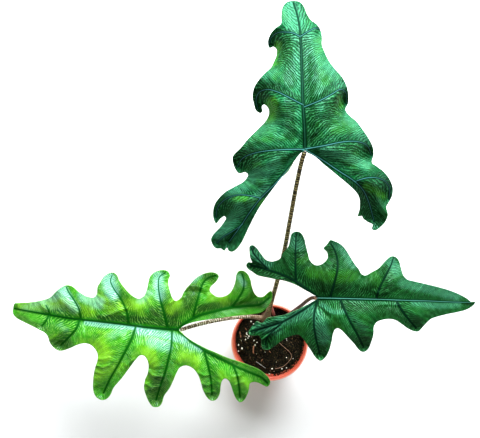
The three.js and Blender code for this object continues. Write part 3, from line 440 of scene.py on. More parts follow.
def node(tree, kind, inputs=None, **settings):
    """Adds a node to a tree. Each input is a plain value, or the output of another node."""
    made = tree.nodes.new(kind)
    for name, value in settings.items():
        setattr(made, name, value)
    for name, value in (inputs or {}).items():
        if isinstance(value, bpy.types.NodeSocket):
            tree.links.new(value, made.inputs[name])
        else:
            made.inputs[name].default_value = value
    return made


def work_out(tree, operation, *numbers):
    return node(tree, "ShaderNodeMath", dict(enumerate(numbers)), operation=operation).outputs[0]


def times(tree, a, b):
    return work_out(tree, "MULTIPLY", a, b)


def added(tree, a, share, b):
    """b with a share of a added."""
    return work_out(tree, "MULTIPLY_ADD", a, share, b)


def waves(tree, value, half):
    """A number that rises and falls between 0 and half as the value grows."""
    return work_out(tree, "PINGPONG", value, half)


def fade(tree, value, low, high, start=0.0, end=1.0):
    """A smooth step: start where the value is under low, end where it is over high."""
    inputs = {"Value": value, "From Min": low, "From Max": high, "To Min": start, "To Max": end}
    return node(tree, "ShaderNodeMapRange", inputs, interpolation_type="SMOOTHSTEP").outputs[0]


def coats(tree, ground, *layers):
    """The ground colour with coats over it. Each coat is its colour and the share that it covers."""
    for color, share in layers:
        ground = node(tree, "ShaderNodeMix", {0: share, 6: ground, 7: color}, data_type="RGBA").outputs[2]
    return ground


def noise(tree, place, scale, detail=2.0, roughness=0.5, distortion=0.0):
    inputs = {
        "Vector": place, "Scale": scale, "Detail": detail, "Roughness": roughness, "Distortion": distortion,
    }
    return node(tree, "ShaderNodeTexNoise", inputs).outputs[0]


def upright_noise(tree, place, stretch, scale, detail=2.0, roughness=0.5, distortion=0.0):
    """Noise drawn out into upright streaks."""
    streaks = node(tree, "ShaderNodeMapping", {"Vector": place, "Scale": (1, 1, stretch)}).outputs[0]
    return noise(tree, streaks, scale, detail, roughness, distortion)


def relief(tree, height, distance, strength=1.0, under=None):
    inputs = {"Strength": strength, "Distance": distance, "Height": height}
    if under is not None:
        inputs["Normal"] = under
    return node(tree, "ShaderNodeBump", inputs).outputs[0]


def measured(tree, name):
    """The number that a piece's mesh holds under this name."""
    return node(tree, "ShaderNodeAttribute", attribute_name=name).outputs["Fac"]


def new_material(name):
    """An empty material: its tree, its Object coordinates and a function that finishes it."""
    material = bpy.data.materials.new(name)
    material.use_nodes = True
    tree = material.node_tree
    tree.nodes.clear()
    place = node(tree, "ShaderNodeTexCoord").outputs["Object"]

    def finish(**inputs):
        named = {key.replace("_", " ").title().replace("Ior", "IOR"): value for key, value in inputs.items()}
        surface = node(tree, "ShaderNodeBsdfPrincipled", named)
        node(tree, "ShaderNodeOutputMaterial", {"Surface": surface.outputs[0]})
        return material

    return tree, place, finish


# Finishes


def broken(tree, name, cloud):
    """The blade's number of this name, between 0 and 1, with its border broken up by the cloud."""
    return fade(tree, added(tree, cloud, 0.5, measured(tree, name)), 0.35, 0.95)


def veinlet_pattern(tree, place):
    """The wavy veinlets: a share for the sunken lines, and one for the crests, where a painted glint goes."""
    wander = added(tree, noise(tree, place, 110, 2), 1.8, measured(tree, "flow"))
    wander = added(tree, noise(tree, place, 420, 1), 0.9, wander)
    veinlet = times(tree, waves(tree, wander, 0.5), 2.0)
    clear = measured(tree, "clear")
    line = times(tree, fade(tree, veinlet, 0.0, 0.5, 1.0, 0.0), clear)
    crest_glint = times(tree, fade(tree, veinlet, 0.55, 1.0), clear)
    return line, times(tree, crest_glint, fade(tree, noise(tree, place, 260, 2), 0.36, 0.58, 0.25, 1.0))


def leaf_finish(name, look):
    """A leathery blade: blotched green with painted pale sheen and painted shade, sunken main veins, and fine wavy
    veinlets.
    """
    tree, place, finish = new_material(name)
    rib = measured(tree, "rib")
    turned = measured(tree, "turned")
    under = measured(tree, "under")
    line, glint = veinlet_pattern(tree, place)
    cloud = noise(tree, place, 22, 3, 0.55)
    patch = noise(tree, place, 60, 3, 0.6, 0.4)
    fleck = noise(tree, place, 150, 3, 0.65, 0.3)
    crinkle = noise(tree, place, 900, 3, 0.6)

    def along_veins(inner, reach, most):
        return fade(tree, rib, inner * reach, reach, most, 0.0)

    far_off = times(tree, fade(tree, measured(tree, "gap"), 5, 12), fade(tree, patch, 0.38, 0.62))
    # Painted shade: the shade marks, and faces that lean away from upright
    shade = work_out(tree, "MAXIMUM", broken(tree, "shade", patch), times(tree, turned, 0.6))
    # Painted sheen: pale bluish patches, strongest on the veinlet crests
    painted_sheen = times(tree, broken(tree, "painted_sheen", fleck), fade(tree, glint, 0, 1, 0.5, 1.0))
    upper = coats(
        tree, look["deep"],
        (look["main"], fade(tree, cloud, 0.35, 0.65)),
        (look["fresh"], times(tree, far_off, look["far_off_share"])),
        (look["shade"], times(tree, shade, look["shade_share"])),
        (look["fresh"], times(tree, broken(tree, "fresh", fleck), look["fresh_share"])),
        # Painted shade in the valleys along the veins
        (look["valley_shade"], along_veins(0.3, look["valley_shade_reach"], look["valley_shade_share"])),
        (look["painted_sheen"], times(tree, painted_sheen, look["painted_sheen_share"])),
        # Darker colour in the sunken veinlet lines, which also stands in for the shade in them
        (look["line"], times(tree, line, look["line_share"])),
        # Painted glints on the veinlet crests
        (look["crest_glint"], times(tree, glint, look["crest_glint_share"])),
        (look["deep"], fade(tree, crinkle, 0.45, 0.75, 0.0, 0.25)),
        # Painted shade in the grooves beside the veins
        (look["groove"], along_veins(0.4, look["groove_shade_reach"], 0.95)),
        # The cord on each vein: its own colour, and where it is pale also a painted highlight on the raised cord
        (
            coats(tree, look["cord"], (look["trunk"], measured(tree, "midrib"))),
            along_veins(0.4, look["cord_reach"], look["cord_share"]),
        ),
        # Painted highlight along the margin
        (look["rim_highlight"], fade(tree, measured(tree, "edge"), 0.25, 0.9, 0.4, 0.0)),
    )
    lower = coats(
        tree, look["below_cord"],
        (look["below"], fade(tree, rib, 0.8, 2.2)),
        (look["below_cord"], times(tree, line, 0.4)),
    )
    bump = relief(tree, work_out(tree, "SUBTRACT", 1.0, line), 0.0005)
    bump = relief(tree, crinkle, 0.0002, 0.8, bump)
    dull = work_out(tree, "MAXIMUM", under, turned)
    dull = work_out(tree, "MAXIMUM", dull, fade(tree, rib, 1.2, 3.4, 0.85, 0.0))
    shine = fade(tree, noise(tree, place, 140, 3), 0.3, 0.7, look["gloss"], look["gloss"] + 0.12)
    return finish(
        base_color=coats(tree, upper, (lower, under)),
        roughness=added(tree, dull, 0.2, shine),
        normal=bump,
        specular_tint=look["sheen"],
        specular_ior_level=fade(tree, dull, 0, 1, look["specular"], 0.03),
    )


def stalk_finish(name, base, dark, pale):
    """A stalk with broken pale bands, mottled like snakeskin, and smoother skin where it leaves the crown."""
    tree, place, finish = new_material(name)
    along = measured(tree, "along")
    band = waves(tree, added(tree, noise(tree, place, 200, 2), 0.005, along), 0.0019)
    band = fade(tree, band, 0.0006, 0.0013)
    patch = fade(tree, noise(tree, place, 300, 2, 0.6), 0.4, 0.52)
    smooth = fade(tree, along, 0.016, 0.05, 1.0, 0.0)
    mottle = times(tree, times(tree, band, patch), fade(tree, smooth, 0, 1, 1, 0.25))
    fibre = upright_noise(tree, place, 0.12, 1600, 2)
    color = coats(
        tree, base,
        (dark, fade(tree, noise(tree, place, 45, 2), 0.35, 0.65)),
        (tint(138, 112, 88), times(tree, smooth, 0.7)),
        (pale, mottle),
        (dark, fade(tree, fibre, 0.4, 0.7, 0.0, 0.3)),
    )
    bump = relief(tree, mottle, 0.0003, 0.7)
    bump = relief(tree, fibre, 0.00012, 0.6, bump)
    return finish(base_color=color, roughness=0.52, normal=bump, specular_ior_level=0.35)


def pot_finish():
    """Smooth moulded plastic: faint swirls, painted highlights on the lip and in streaks, painted shade and soil
    inside.
    """
    tree, place, finish = new_material("terracotta_plastic")
    x, y, z = node(tree, "ShaderNodeSeparateXYZ", {0: place}).outputs
    flat = node(tree, "ShaderNodeCombineXYZ", {0: x, 1: y}).outputs[0]
    radius = node(tree, "ShaderNodeVectorMath", {0: flat}, operation="LENGTH").outputs["Value"]
    speck = noise(tree, place, 900, 2, 0.6)
    scratch = upright_noise(tree, place, 0.08, 700, 2, 0.7)
    highlight_streak = upright_noise(tree, place, 0.3, 420, 3, 0.6, 0.5)
    lip_highlight = fade(tree, z, POT_HEIGHT - 1.6 * MM, POT_HEIGHT - 0.4 * MM)
    lip_highlight = times(tree, lip_highlight, fade(tree, radius, RIM_RADIUS - 2 * MM, RIM_RADIUS - 1.2 * MM))
    skin = FOOT_RADIUS - WALL
    inner = fade(tree, added(tree, z, -WALL_LEAN, radius), skin + 1.3 * MM, skin + 1.1 * MM)
    inner = times(tree, inner, fade(tree, z, 0.3 * FLOOR, 0.7 * FLOOR))
    low = fade(tree, z, SOIL_TOP + 1 * MM, SOIL_TOP + 9 * MM, 1.0, 0.0)
    dirt = times(tree, times(tree, inner, low), fade(tree, noise(tree, place, 160, 4, 0.7), 0.42, 0.6))
    color = coats(
        tree, tint(224, 104, 82),
        (tint(234, 124, 102), fade(tree, noise(tree, place, 30, 4, 0.6, 0.6), 0.3, 0.7)),
        (tint(180, 74, 56), fade(tree, speck, 0.62, 0.74, 0.0, 0.3)),
        (tint(240, 150, 128), fade(tree, scratch, 0.6, 0.78, 0.0, 0.25)),
        # Painted highlight on the top of the lip
        (tint(246, 172, 156), times(tree, lip_highlight, 0.85)),
        # Painted highlight in pale upright streaks
        (tint(244, 168, 148), fade(tree, highlight_streak, 0.52, 0.66, 0.0, 0.35)),
        # Painted shade on the inner wall
        (tint(196, 80, 58), times(tree, inner, 0.6)),
        (tint(65, 41, 32), times(tree, dirt, 0.8)),
    )
    gloss = fade(tree, noise(tree, place, 220, 3), 0.3, 0.7, 0.36, 0.5)
    bump = relief(tree, speck, 0.00008, 0.5)
    bump = relief(tree, scratch, 0.00006, 0.4, bump)
    return finish(base_color=color, roughness=added(tree, dirt, 0.35, gloss), normal=bump)


def earth_finish(name, dark, light, scale):
    """Loose dark matter: clots of two browns with paler dry bits, and a rough surface."""
    tree, place, finish = new_material(name)
    clot = noise(tree, place, scale, 4, 0.7, 0.4)
    grain = noise(tree, place, scale * 4, 4, 0.7)
    color = coats(
        tree, dark,
        (light, fade(tree, clot, 0.46, 0.62)),
        (tint(118, 98, 66), fade(tree, grain, 0.56, 0.66, 0.0, 0.85)),
    )
    bump = relief(tree, grain, 0.0006, 1.0)
    return finish(base_color=color, roughness=0.93, normal=bump, specular_ior_level=0.2)


def grain_finish(name, main, shade, scale):
    """A small dry thing, such as a perlite grain or a chip of bark, with pores and stains."""
    tree, place, finish = new_material(name)
    pore = noise(tree, place, scale, 4, 0.7)
    color = coats(tree, main, (shade, fade(tree, pore, 0.42, 0.62)))
    return finish(base_color=color, roughness=0.8, normal=relief(tree, pore, 0.0004, 0.8))


def corm_finish():
    """Dry fibrous skin with level leaf-scar rings."""
    tree, place, finish = new_material("corm_skin")
    height = node(tree, "ShaderNodeSeparateXYZ", {0: place}).outputs[2]
    ring = waves(tree, added(tree, noise(tree, place, 180, 3), 0.004, height), 0.0016)
    ring = fade(tree, ring, 0.0002, 0.0012)
    fibre = upright_noise(tree, place, 0.15, 1100, 3, 0.65)
    color = coats(
        tree, tint(88, 66, 48),
        (tint(140, 112, 86), ring),
        (tint(64, 46, 34), fade(tree, fibre, 0.4, 0.7, 0.0, 0.6)),
    )
    bump = relief(tree, ring, 0.0004, 0.7)
    bump = relief(tree, fibre, 0.0002, 0.7, bump)
    return finish(base_color=color, roughness=0.75, normal=bump)


def sheath_finish():
    """Papery pink sheath with darker lengthwise lines."""
    tree, place, finish = new_material("papery_sheath")
    line = upright_noise(tree, place, 0.1, 1500, 2, 0.6)
    color = coats(
        tree, tint(176, 122, 104),
        (tint(226, 138, 132), fade(tree, measured(tree, "along"), 0.0, 0.035)),
        (tint(150, 84, 78), fade(tree, line, 0.45, 0.7, 0.0, 0.5)),
    )
    return finish(base_color=color, roughness=0.6, normal=relief(tree, line, 0.00015, 0.7))


def floor_finish():
    tree, place, finish = new_material("pale_floor")
    color = coats(tree, tint(226, 226, 225), (tint(230, 230, 230), noise(tree, place, 3, 2)))
    return finish(base_color=color, roughness=0.85, specular_ior_level=0.2)


# Geometry rules


def new_rule(name, inputs):
    """A Geometry Nodes tree with these named inputs: its tree, its input node and a function that ends it."""
    tree = bpy.data.node_groups.new(name, "GeometryNodeTree")
    tree.interface.new_socket("Geometry", in_out="INPUT", socket_type="NodeSocketGeometry")
    for label, kind, value in inputs:
        socket = tree.interface.new_socket(label, in_out="INPUT", socket_type="NodeSocket" + kind)
        socket.default_value = value
    tree.interface.new_socket("Material", in_out="INPUT", socket_type="NodeSocketMaterial")
    tree.interface.new_socket("Geometry", in_out="OUTPUT", socket_type="NodeSocketGeometry")
    given = node(tree, "NodeGroupInput").outputs

    def end(geometry):
        inputs = {"Geometry": realized(tree, geometry), "Material": given["Material"]}
        finished = node(tree, "GeometryNodeSetMaterial", inputs).outputs[0]
        node(tree, "NodeGroupOutput", {"Geometry": finished})
        return tree

    return tree, given, end


def realized(tree, geometry):
    return node(tree, "GeometryNodeRealizeInstances", {"Geometry": geometry}).outputs[0]


def creased(tree, geometry, angle):
    """Smooth shading all over, but for the edges that are sharper than the angle."""
    sharp = node(tree, "GeometryNodeInputMeshEdgeAngle").outputs["Unsigned Angle"]
    crease = node(tree, "FunctionNodeCompare", {0: sharp, 1: angle}, operation="GREATER_THAN").outputs[0]
    inputs = {"Geometry": geometry, "Selection": crease, "Shade Smooth": False}
    return node(tree, "GeometryNodeSetShadeSmooth", inputs, domain="EDGE").outputs[0]


def add_object(name, data):
    """An object of this mesh, light or camera, in the scene."""
    piece = bpy.data.objects.new(name, data)
    bpy.context.scene.collection.objects.link(piece)
    return piece


def grow(name, mesh, rule, material, **sizes):
    """Runs a rule on a mesh, and gives the result as a plain mesh object."""
    piece = add_object(name, mesh)
    modifier = piece.modifiers.new("rule", "NODES")
    modifier.node_group = rule
    wanted = {key.replace("_", " "): value for key, value in sizes.items()} | {"material": material}
    for socket in rule.interface.items_tree:
        if socket.in_out == "INPUT" and socket.name.lower() in wanted:
            modifier[socket.identifier] = wanted[socket.name.lower()]
    piece.update_tag()
    depsgraph = bpy.context.evaluated_depsgraph_get()
    solid = bpy.data.meshes.new_from_object(
        piece.evaluated_get(depsgraph), preserve_all_data_layers=True, depsgraph=depsgraph
    )
    piece.modifiers.remove(modifier)
    piece.data = solid
    return piece


def tube_rule():
    """A round tube along a line, as thick as the line's points say, which keeps the length along it."""
    tree, given, end = new_rule("tube_along_a_line", [("Sides", "Int", 20)])
    line = node(tree, "GeometryNodeMeshToCurve", {"Mesh": given["Geometry"]}).outputs[0]
    length = node(tree, "GeometryNodeSplineParameter").outputs["Length"]
    inputs = {"Geometry": line, "Name": "along", "Value": length}
    line = node(
        tree, "GeometryNodeStoreNamedAttribute", inputs, data_type="FLOAT", domain="POINT"
    ).outputs[0]
    inputs = {"Resolution": given["Sides"], "Radius": 1.0}
    circle = node(tree, "GeometryNodeCurvePrimitiveCircle", inputs, mode="RADIUS").outputs[0]
    thickness = node(
        tree, "GeometryNodeInputNamedAttribute", {"Name": "thickness"}, data_type="FLOAT"
    ).outputs[0]
    inputs = {"Curve": line, "Profile Curve": circle, "Scale": thickness, "Fill Caps": True}
    return end(creased(tree, node(tree, "GeometryNodeCurveToMesh", inputs).outputs[0], 1.0))


def turned_rule():
    """A solid of revolution about Z from its section, with a ring of holes drilled through its floor."""
    tree, given, end = new_rule("turned_with_holes", [
        ("Sides", "Int", 128),
        ("Rim radius", "Float", RIM_RADIUS),
        ("Holes", "Int", DRAIN_HOLES),
        ("Hole radius", "Float", DRAIN_RADIUS),
        ("Hole circle", "Float", DRAIN_CIRCLE),
        ("Hole depth", "Float", 4 * FLOOR),
    ])
    section = node(tree, "GeometryNodeMeshToCurve", {"Mesh": given["Geometry"]}).outputs[0]
    inputs = {"Resolution": given["Sides"], "Radius": given["Rim radius"]}
    ring = node(tree, "GeometryNodeCurvePrimitiveCircle", inputs, mode="RADIUS").outputs[0]
    ring = node(tree, "GeometryNodeSetCurveNormal", {"Curve": ring}, mode="Z_UP").outputs[0]
    inputs = {"Curve": ring, "Profile Curve": section}
    shell = node(tree, "GeometryNodeCurveToMesh", inputs).outputs[0]
    shell = node(tree, "GeometryNodeMergeByDistance", {"Geometry": shell, "Distance": 1e-5}).outputs[0]
    inputs = {"Vertices": given["Holes"], "Radius": given["Hole circle"]}
    places = node(tree, "GeometryNodeMeshCircle", inputs).outputs[0]
    inputs = {"Vertices": 32, "Radius": given["Hole radius"], "Depth": given["Hole depth"]}
    drill = node(tree, "GeometryNodeMeshCylinder", inputs).outputs[0]
    drills = node(tree, "GeometryNodeInstanceOnPoints", {"Points": places, "Instance": drill}).outputs[0]
    inputs = {"Mesh 1": shell, "Mesh 2": realized(tree, drills)}
    drilled = node(
        tree, "GeometryNodeMeshBoolean", inputs, operation="DIFFERENCE", solver="EXACT"
    ).outputs[0]
    return end(creased(tree, drilled, 0.7))


ROLL_SEED, TURN_SEED, SIZE_SEED = 11, 23, 37


def random_number(tree, low, high, seed):
    """A random number for each point."""
    return node(tree, "FunctionNodeRandomValue", {2: low, 3: high, 8: seed}, data_type="FLOAT").outputs[1]


def grain_rule(scattered):
    """Grains on a surface, or one on each loose point: each is turned at random and dented by noise."""
    tree, given, end = new_rule("scattered_grains" if scattered else "placed_grains", [
        ("Density", "Float", 100000.0),
        ("Smallest", "Vector", (0.001, 0.001, 0.001)),
        ("Largest", "Vector", (0.002, 0.002, 0.002)),
        ("Tilt", "Float", 0.5),
        ("Detail", "Int", 2),
        ("Dents", "Float", 0.0004),
        ("Dent scale", "Float", 700.0),
        ("Seed", "Int", 1),
    ])
    if scattered:
        inputs = {"Mesh": given["Geometry"], "Density": given["Density"], "Seed": given["Seed"]}
        points = node(tree, "GeometryNodeDistributePointsOnFaces", inputs).outputs[0]
    else:
        points = node(tree, "GeometryNodeMeshToPoints", {"Mesh": given["Geometry"]}).outputs[0]
    inputs = {"Radius": 0.5, "Subdivisions": given["Detail"]}
    grain = node(tree, "GeometryNodeMeshIcoSphere", inputs).outputs[0]
    lean = times(tree, random_number(tree, -1.0, 1.0, given["Seed"]), given["Tilt"])
    roll = times(tree, random_number(tree, -1.0, 1.0, ROLL_SEED), given["Tilt"])
    inputs = {0: lean, 1: roll, 2: random_number(tree, 0.0, math.tau, TURN_SEED)}
    rotation = node(tree, "ShaderNodeCombineXYZ", inputs).outputs[0]
    inputs = {0: given["Smallest"], 1: given["Largest"], 8: SIZE_SEED}
    size = node(tree, "FunctionNodeRandomValue", inputs, data_type="FLOAT_VECTOR").outputs[0]
    inputs = {"Points": points, "Instance": grain, "Rotation": rotation, "Scale": size}
    grains = realized(tree, node(tree, "GeometryNodeInstanceOnPoints", inputs).outputs[0])
    place = node(tree, "GeometryNodeInputPosition").outputs[0]
    dent = work_out(tree, "SUBTRACT", noise(tree, place, given["Dent scale"], 2), 0.5)
    dent = times(tree, times(tree, dent, given["Dents"]), 2.0)
    normal = node(tree, "GeometryNodeInputNormal").outputs[0]
    push = node(tree, "ShaderNodeVectorMath", {0: normal, "Scale": dent}, operation="SCALE").outputs[0]
    return end(node(tree, "GeometryNodeSetPosition", {"Geometry": grains, "Offset": push}).outputs[0])


# Curves and surfaces


def on_plan(points):
    """Plan points with their heights in metres, as places in the frame."""
    scale = PLAN_UNIT * (EYE.z - points[:, 2]) / EYE_HEIGHT
    return np.column_stack([
        EYE.x + (points[:, 0] - PLAN_CENTRE[0]) * scale,
        EYE.y - (points[:, 1] - PLAN_CENTRE[1]) * scale,
        points[:, 2],
    ])


def smooth_row(corners, closed, step):
    """A centripetal curve through the corners, with points at most one step apart."""
    knots = np.array(corners, float)
    if closed:
        knots = np.vstack([knots[-1:], knots, knots[:2]])
    else:
        knots = np.vstack([2 * knots[:1] - knots[1:2], knots, 2 * knots[-1:] - knots[-2:-1]])
    row = []
    for before, a, b, after in zip(knots, knots[1:], knots[2:], knots[3:]):
        early, span, late = (math.sqrt(np.linalg.norm(q - p)) for p, q in ((before, a), (a, b), (b, after)))
        leave = (a - before) / early - (b - before) / (early + span) + (b - a) / span
        reach = (b - a) / span - (after - a) / (span + late) + (after - b) / late
        pieces = math.ceil(np.linalg.norm((b - a)[:2]) / step)
        for i in range(pieces):
            t = i / pieces
            row.append(
                (2 * t**3 - 3 * t**2 + 1) * a + (t**3 - 2 * t**2 + t) * span * leave
                + (3 * t**2 - 2 * t**3) * b + (t**3 - t**2) * span * reach
            )
    if not closed:
        row.append(knots[-2])
    return np.array(row)


def nearest(points, row, closed):
    """For each point: how far the row is, the place on the row as an index with a share, and the side."""
    best = np.full(len(points), np.inf)
    where = np.zeros(len(points))
    side = np.ones(len(points))
    ends = np.roll(row, -1, axis=0) if closed else row[1:]
    for i, (a, b) in enumerate(zip(row[:, :2], ends[:, :2])):
        along = b - a
        offset = points - a
        share = np.clip(offset @ along / (along @ along), 0, 1)
        distance = np.hypot(*(offset - share[:, None] * along).T)
        closer = distance < best
        best[closer] = distance[closer]
        where[closer] = i + share[closer]
        side[closer] = np.sign(along[0] * offset[closer, 1] - along[1] * offset[closer, 0])
    return best, where, side


def inside(points, outline):
    """Which of the points lie inside the outline."""
    crossings = np.zeros(len(points), bool)
    x, y = points.T
    for (x1, y1), (x2, y2) in zip(outline, np.roll(outline, -1, axis=0)):
        if y1 != y2:
            crossings ^= ((y1 > y) != (y2 > y)) & (x < (x2 - x1) * (y - y1) / (y2 - y1) + x1)
    return crossings


RIPPLE_WAVES = 7


def ripple(points, length, seed):
    """Smooth unevenness between about -1 and 1, with features about one length apart."""
    random_row = random.Random(seed)
    total = np.zeros(len(points))
    for _ in range(RIPPLE_WAVES):
        angle = random_row.uniform(0, math.tau)
        wave = math.tau / length * random_row.uniform(0.6, 1.5)
        shift = random_row.uniform(0, math.tau)
        total += np.sin((points[:, 0] * math.cos(angle) + points[:, 1] * math.sin(angle)) * wave + shift)
    return total / (RIPPLE_WAVES / 2)


def smoothstep(value, low, high):
    share = np.clip((value - low) / (high - low), 0, 1)
    return share * share * (3 - 2 * share)


# Spacings of the blade's mesh points, in shares of FINE
BESIDE_VEIN = 0.75
OFF_MARGIN = 0.55
ROOM = 0.6


def lattice_over(outline):
    """Points on even triangles over the whole of the outline's box."""
    low, high = outline.min(0), outline.max(0)
    lines = np.arange(low[1], high[1], FINE * math.sqrt(0.75))
    return [
        (x + (FINE / 2 if i % 2 else 0), y)
        for i, y in enumerate(lines) for x in np.arange(low[0], high[0], FINE)
    ]


def spread_out(points, room):
    """The points without those that lie too near one that came before them."""
    cells = {}
    kept = []
    for x, y in points:
        column, line = int(x // room), int(y // room)
        near = [cells.get((column + i, line + j)) for i in (-1, 0, 1) for j in (-1, 0, 1)]
        if all(p is None or (p[0] - x) ** 2 + (p[1] - y) ** 2 > room * room for p in near):
            cells[column, line] = (x, y)
            kept.append((x, y))
    return kept


def triangles_between(outline, veins):
    """Points and triangles of the blade on the plan. Rows of points run along and beside every vein."""
    rows = []
    for vein in veins:
        row = smooth_row(vein, False, FINE)[:, :2]
        along = np.gradient(row, axis=0)
        across = np.column_stack([-along[:, 1], along[:, 0]]) / np.linalg.norm(along, axis=1)[:, None]
        rows += [row, row + BESIDE_VEIN * FINE * across, row - BESIDE_VEIN * FINE * across]
    candidates = np.vstack([*rows, np.array(lattice_over(outline))])
    candidates = candidates[inside(candidates, outline)]
    candidates = candidates[nearest(candidates, outline, True)[0] > OFF_MARGIN * FINE]
    points = [*map(tuple, outline), *spread_out(candidates, ROOM * FINE)]
    places, _, faces, *_ = delaunay_2d_cdt(points, [], [list(range(len(outline)))], 1, 1e-7)
    return np.array([tuple(p) for p in places]), np.array(faces)[:, ::-1]


def corner_normals(places, faces):
    """The way that the surface faces at each place, worked out from the faces that meet there."""
    normals = np.zeros_like(places)
    a, b, c = (places[faces[:, i]] for i in range(3))
    direction = np.cross(b - a, c - a)
    for i in range(3):
        np.add.at(normals, faces[:, i], direction)
    return normals / np.linalg.norm(normals, axis=1)[:, None]


def mesh_from(name, places, faces, numbers=None, flat=(), material=None):
    """A mesh with one number per point under each name. Faces listed in flat aren't smoothed."""
    mesh = bpy.data.meshes.new(name)
    mesh.from_pydata(places.tolist(), [], faces)
    smooth = np.ones(len(faces), bool)
    smooth[list(flat)] = False
    mesh.polygons.foreach_set("use_smooth", smooth)
    for label, values in (numbers or {}).items():
        attribute = mesh.attributes.new(label, "FLOAT", "POINT")
        attribute.data.foreach_set("value", np.ascontiguousarray(values, dtype=np.float32))
    mesh.update()
    if material:
        mesh.materials.append(material)
    return mesh


# The search for an even field stops after so many rounds, or when this share of the error is left. The hold
# keeps parts that barred edges cut off from drifting.
FIELD_ROUNDS = 900
FIELD_ERROR = 1e-6
FIELD_HOLD = 1e-6


def even_field(points, faces, wanted, barred):
    """A number per point whose slope is as near as can be to the wanted slope. Barred edges carry nothing."""
    pairs = np.sort(np.vstack([faces[:, [0, 1]], faces[:, [1, 2]], faces[:, [2, 0]]]), axis=1)
    start, stop = np.unique(pairs, axis=0).T
    open_edges = ~barred(start, stop)
    start, stop = start[open_edges], stop[open_edges]
    slope = (wanted[start] + wanted[stop]) / 2
    rise = ((points[stop] - points[start]) * slope).sum(1)
    count = len(points)

    def gather(values):
        return np.bincount(stop, values, count) - np.bincount(start, values, count)

    field = np.zeros(count)
    left = gather(rise)
    heading = left.copy()
    size = left @ left
    target = size * FIELD_ERROR
    for _ in range(FIELD_ROUNDS):
        spread = gather(heading[stop] - heading[start]) + FIELD_HOLD * heading
        share = size / (heading @ spread)
        field += share * heading
        left -= share * spread
        next_size = left @ left
        if next_size < target:
            break
        heading = left + next_size / size * heading
        size = next_size
    return field


# A veinlet leaves its vein more squarely: the share of the lean that is lost there, and the squared distance
# over which it comes back. Then how near a vein, in shares of FINE, an edge lies on it or may cross it.
SQUARE_START = 0.6
SQUARE_REACH = 40
ON_VEIN = 0.3
BY_VEIN = 2

# What a vein does to its sides: each is its value where the rib has no height, and what every millimetre of
# rib adds. The groove is cut as wide as so many veins, and the cord in it rises by a share of its depth.
BARE_START = (0.2, 0.4)
BARE_END = (0.6, 1.2)
RIB_REACH = (0.9, 0.5)
GROOVE_DEPTH = (0.3, 0.2)
GROOVE_WIDTH = 3
CORD_RISE = 0.9


def pull_of_veins(points, rows):
    """The height that the veins together give each point, and the way that its veinlets run."""
    level = np.zeros(len(points))
    weights = np.zeros(len(points))
    outward = np.zeros((len(points), 2))
    for row in rows:
        ahead = np.gradient(row[:, :2], axis=0)
        ahead /= np.linalg.norm(ahead, axis=1)[:, None]
        for spot, heading in zip(row, ahead):
            away = points - spot[:2]
            squared = (away**2).sum(1)
            weight = 1 / (squared + VEIN_SOFTNESS) ** VEIN_PULL
            level += weight * spot[2]
            weights += weight
            lean = VEINLET_LEAN * (1 - SQUARE_START * np.exp(-squared / SQUARE_REACH))
            outward += (away / np.sqrt(squared + 0.1)[:, None] + lean[:, None] * heading) * weight[:, None]
    outward /= np.linalg.norm(outward, axis=1)[:, None] + 1e-9
    return level / weights, outward


def beside_veins(points, leaf, rows):
    """What the veins do at each point. gap is the distance to the nearest one and rib is the same in vein
    widths. lead is that vein's number with a sign for the side, and clear is 0 on a vein and 1 off it."""
    count = len(points)
    puff = np.full(count, leaf["puff"]["rise"])
    gap, rib = np.full(count, np.inf), np.full(count, np.inf)
    lead, midrib, below, groove = (np.zeros(count) for _ in range(4))
    clear = np.ones(count)
    for number, (((root, tip), _), row) in enumerate(zip(leaf["veins"], rows), 1):
        distance, place, side = nearest(points, row, False)
        reach = leaf["puff"]["reach"] + leaf["puff"]["reach_per_rib"] * root
        puff *= 1 - np.exp(-((distance / reach) ** 2))
        lead[distance < gap] = (number * side)[distance < gap]
        gap = np.minimum(gap, distance)
        thickness = root + (tip - root) * place / (len(row) - 1)
        width = VEIN_WIDTH * (0.5 + 0.5 * thickness)
        bare_start, bare_end, rib_reach, depth = (
            start + growth * thickness for start, growth in (BARE_START, BARE_END, RIB_REACH, GROOVE_DEPTH)
        )
        clear *= smoothstep(distance, bare_start, bare_end)
        midrib = np.where(distance / width < rib, float(number == 1), midrib)
        rib = np.minimum(rib, distance / width)
        below = np.maximum(below, thickness * np.exp(-((distance / rib_reach) ** 2)))
        cut = -depth * np.exp(-((distance / (GROOVE_WIDTH * width)) ** 2))
        cord = CORD_RISE * depth * np.exp(-((distance / width) ** 2))
        groove = np.where(np.abs(cut + cord) > np.abs(groove), cut + cord, groove)
    return puff, lead, below, groove, {"rib": rib, "gap": gap, "clear": clear, "midrib": midrib}


def near_lines(points, lines):
    """For each line, drawn through a row of plan points: its strength, and how near each point is to it."""
    for (strength, reach), path in lines:
        distance = nearest(points, smooth_row(path, False, VEIN_STEP), False)[0]
        yield strength * np.exp(-((distance / reach) ** 2))


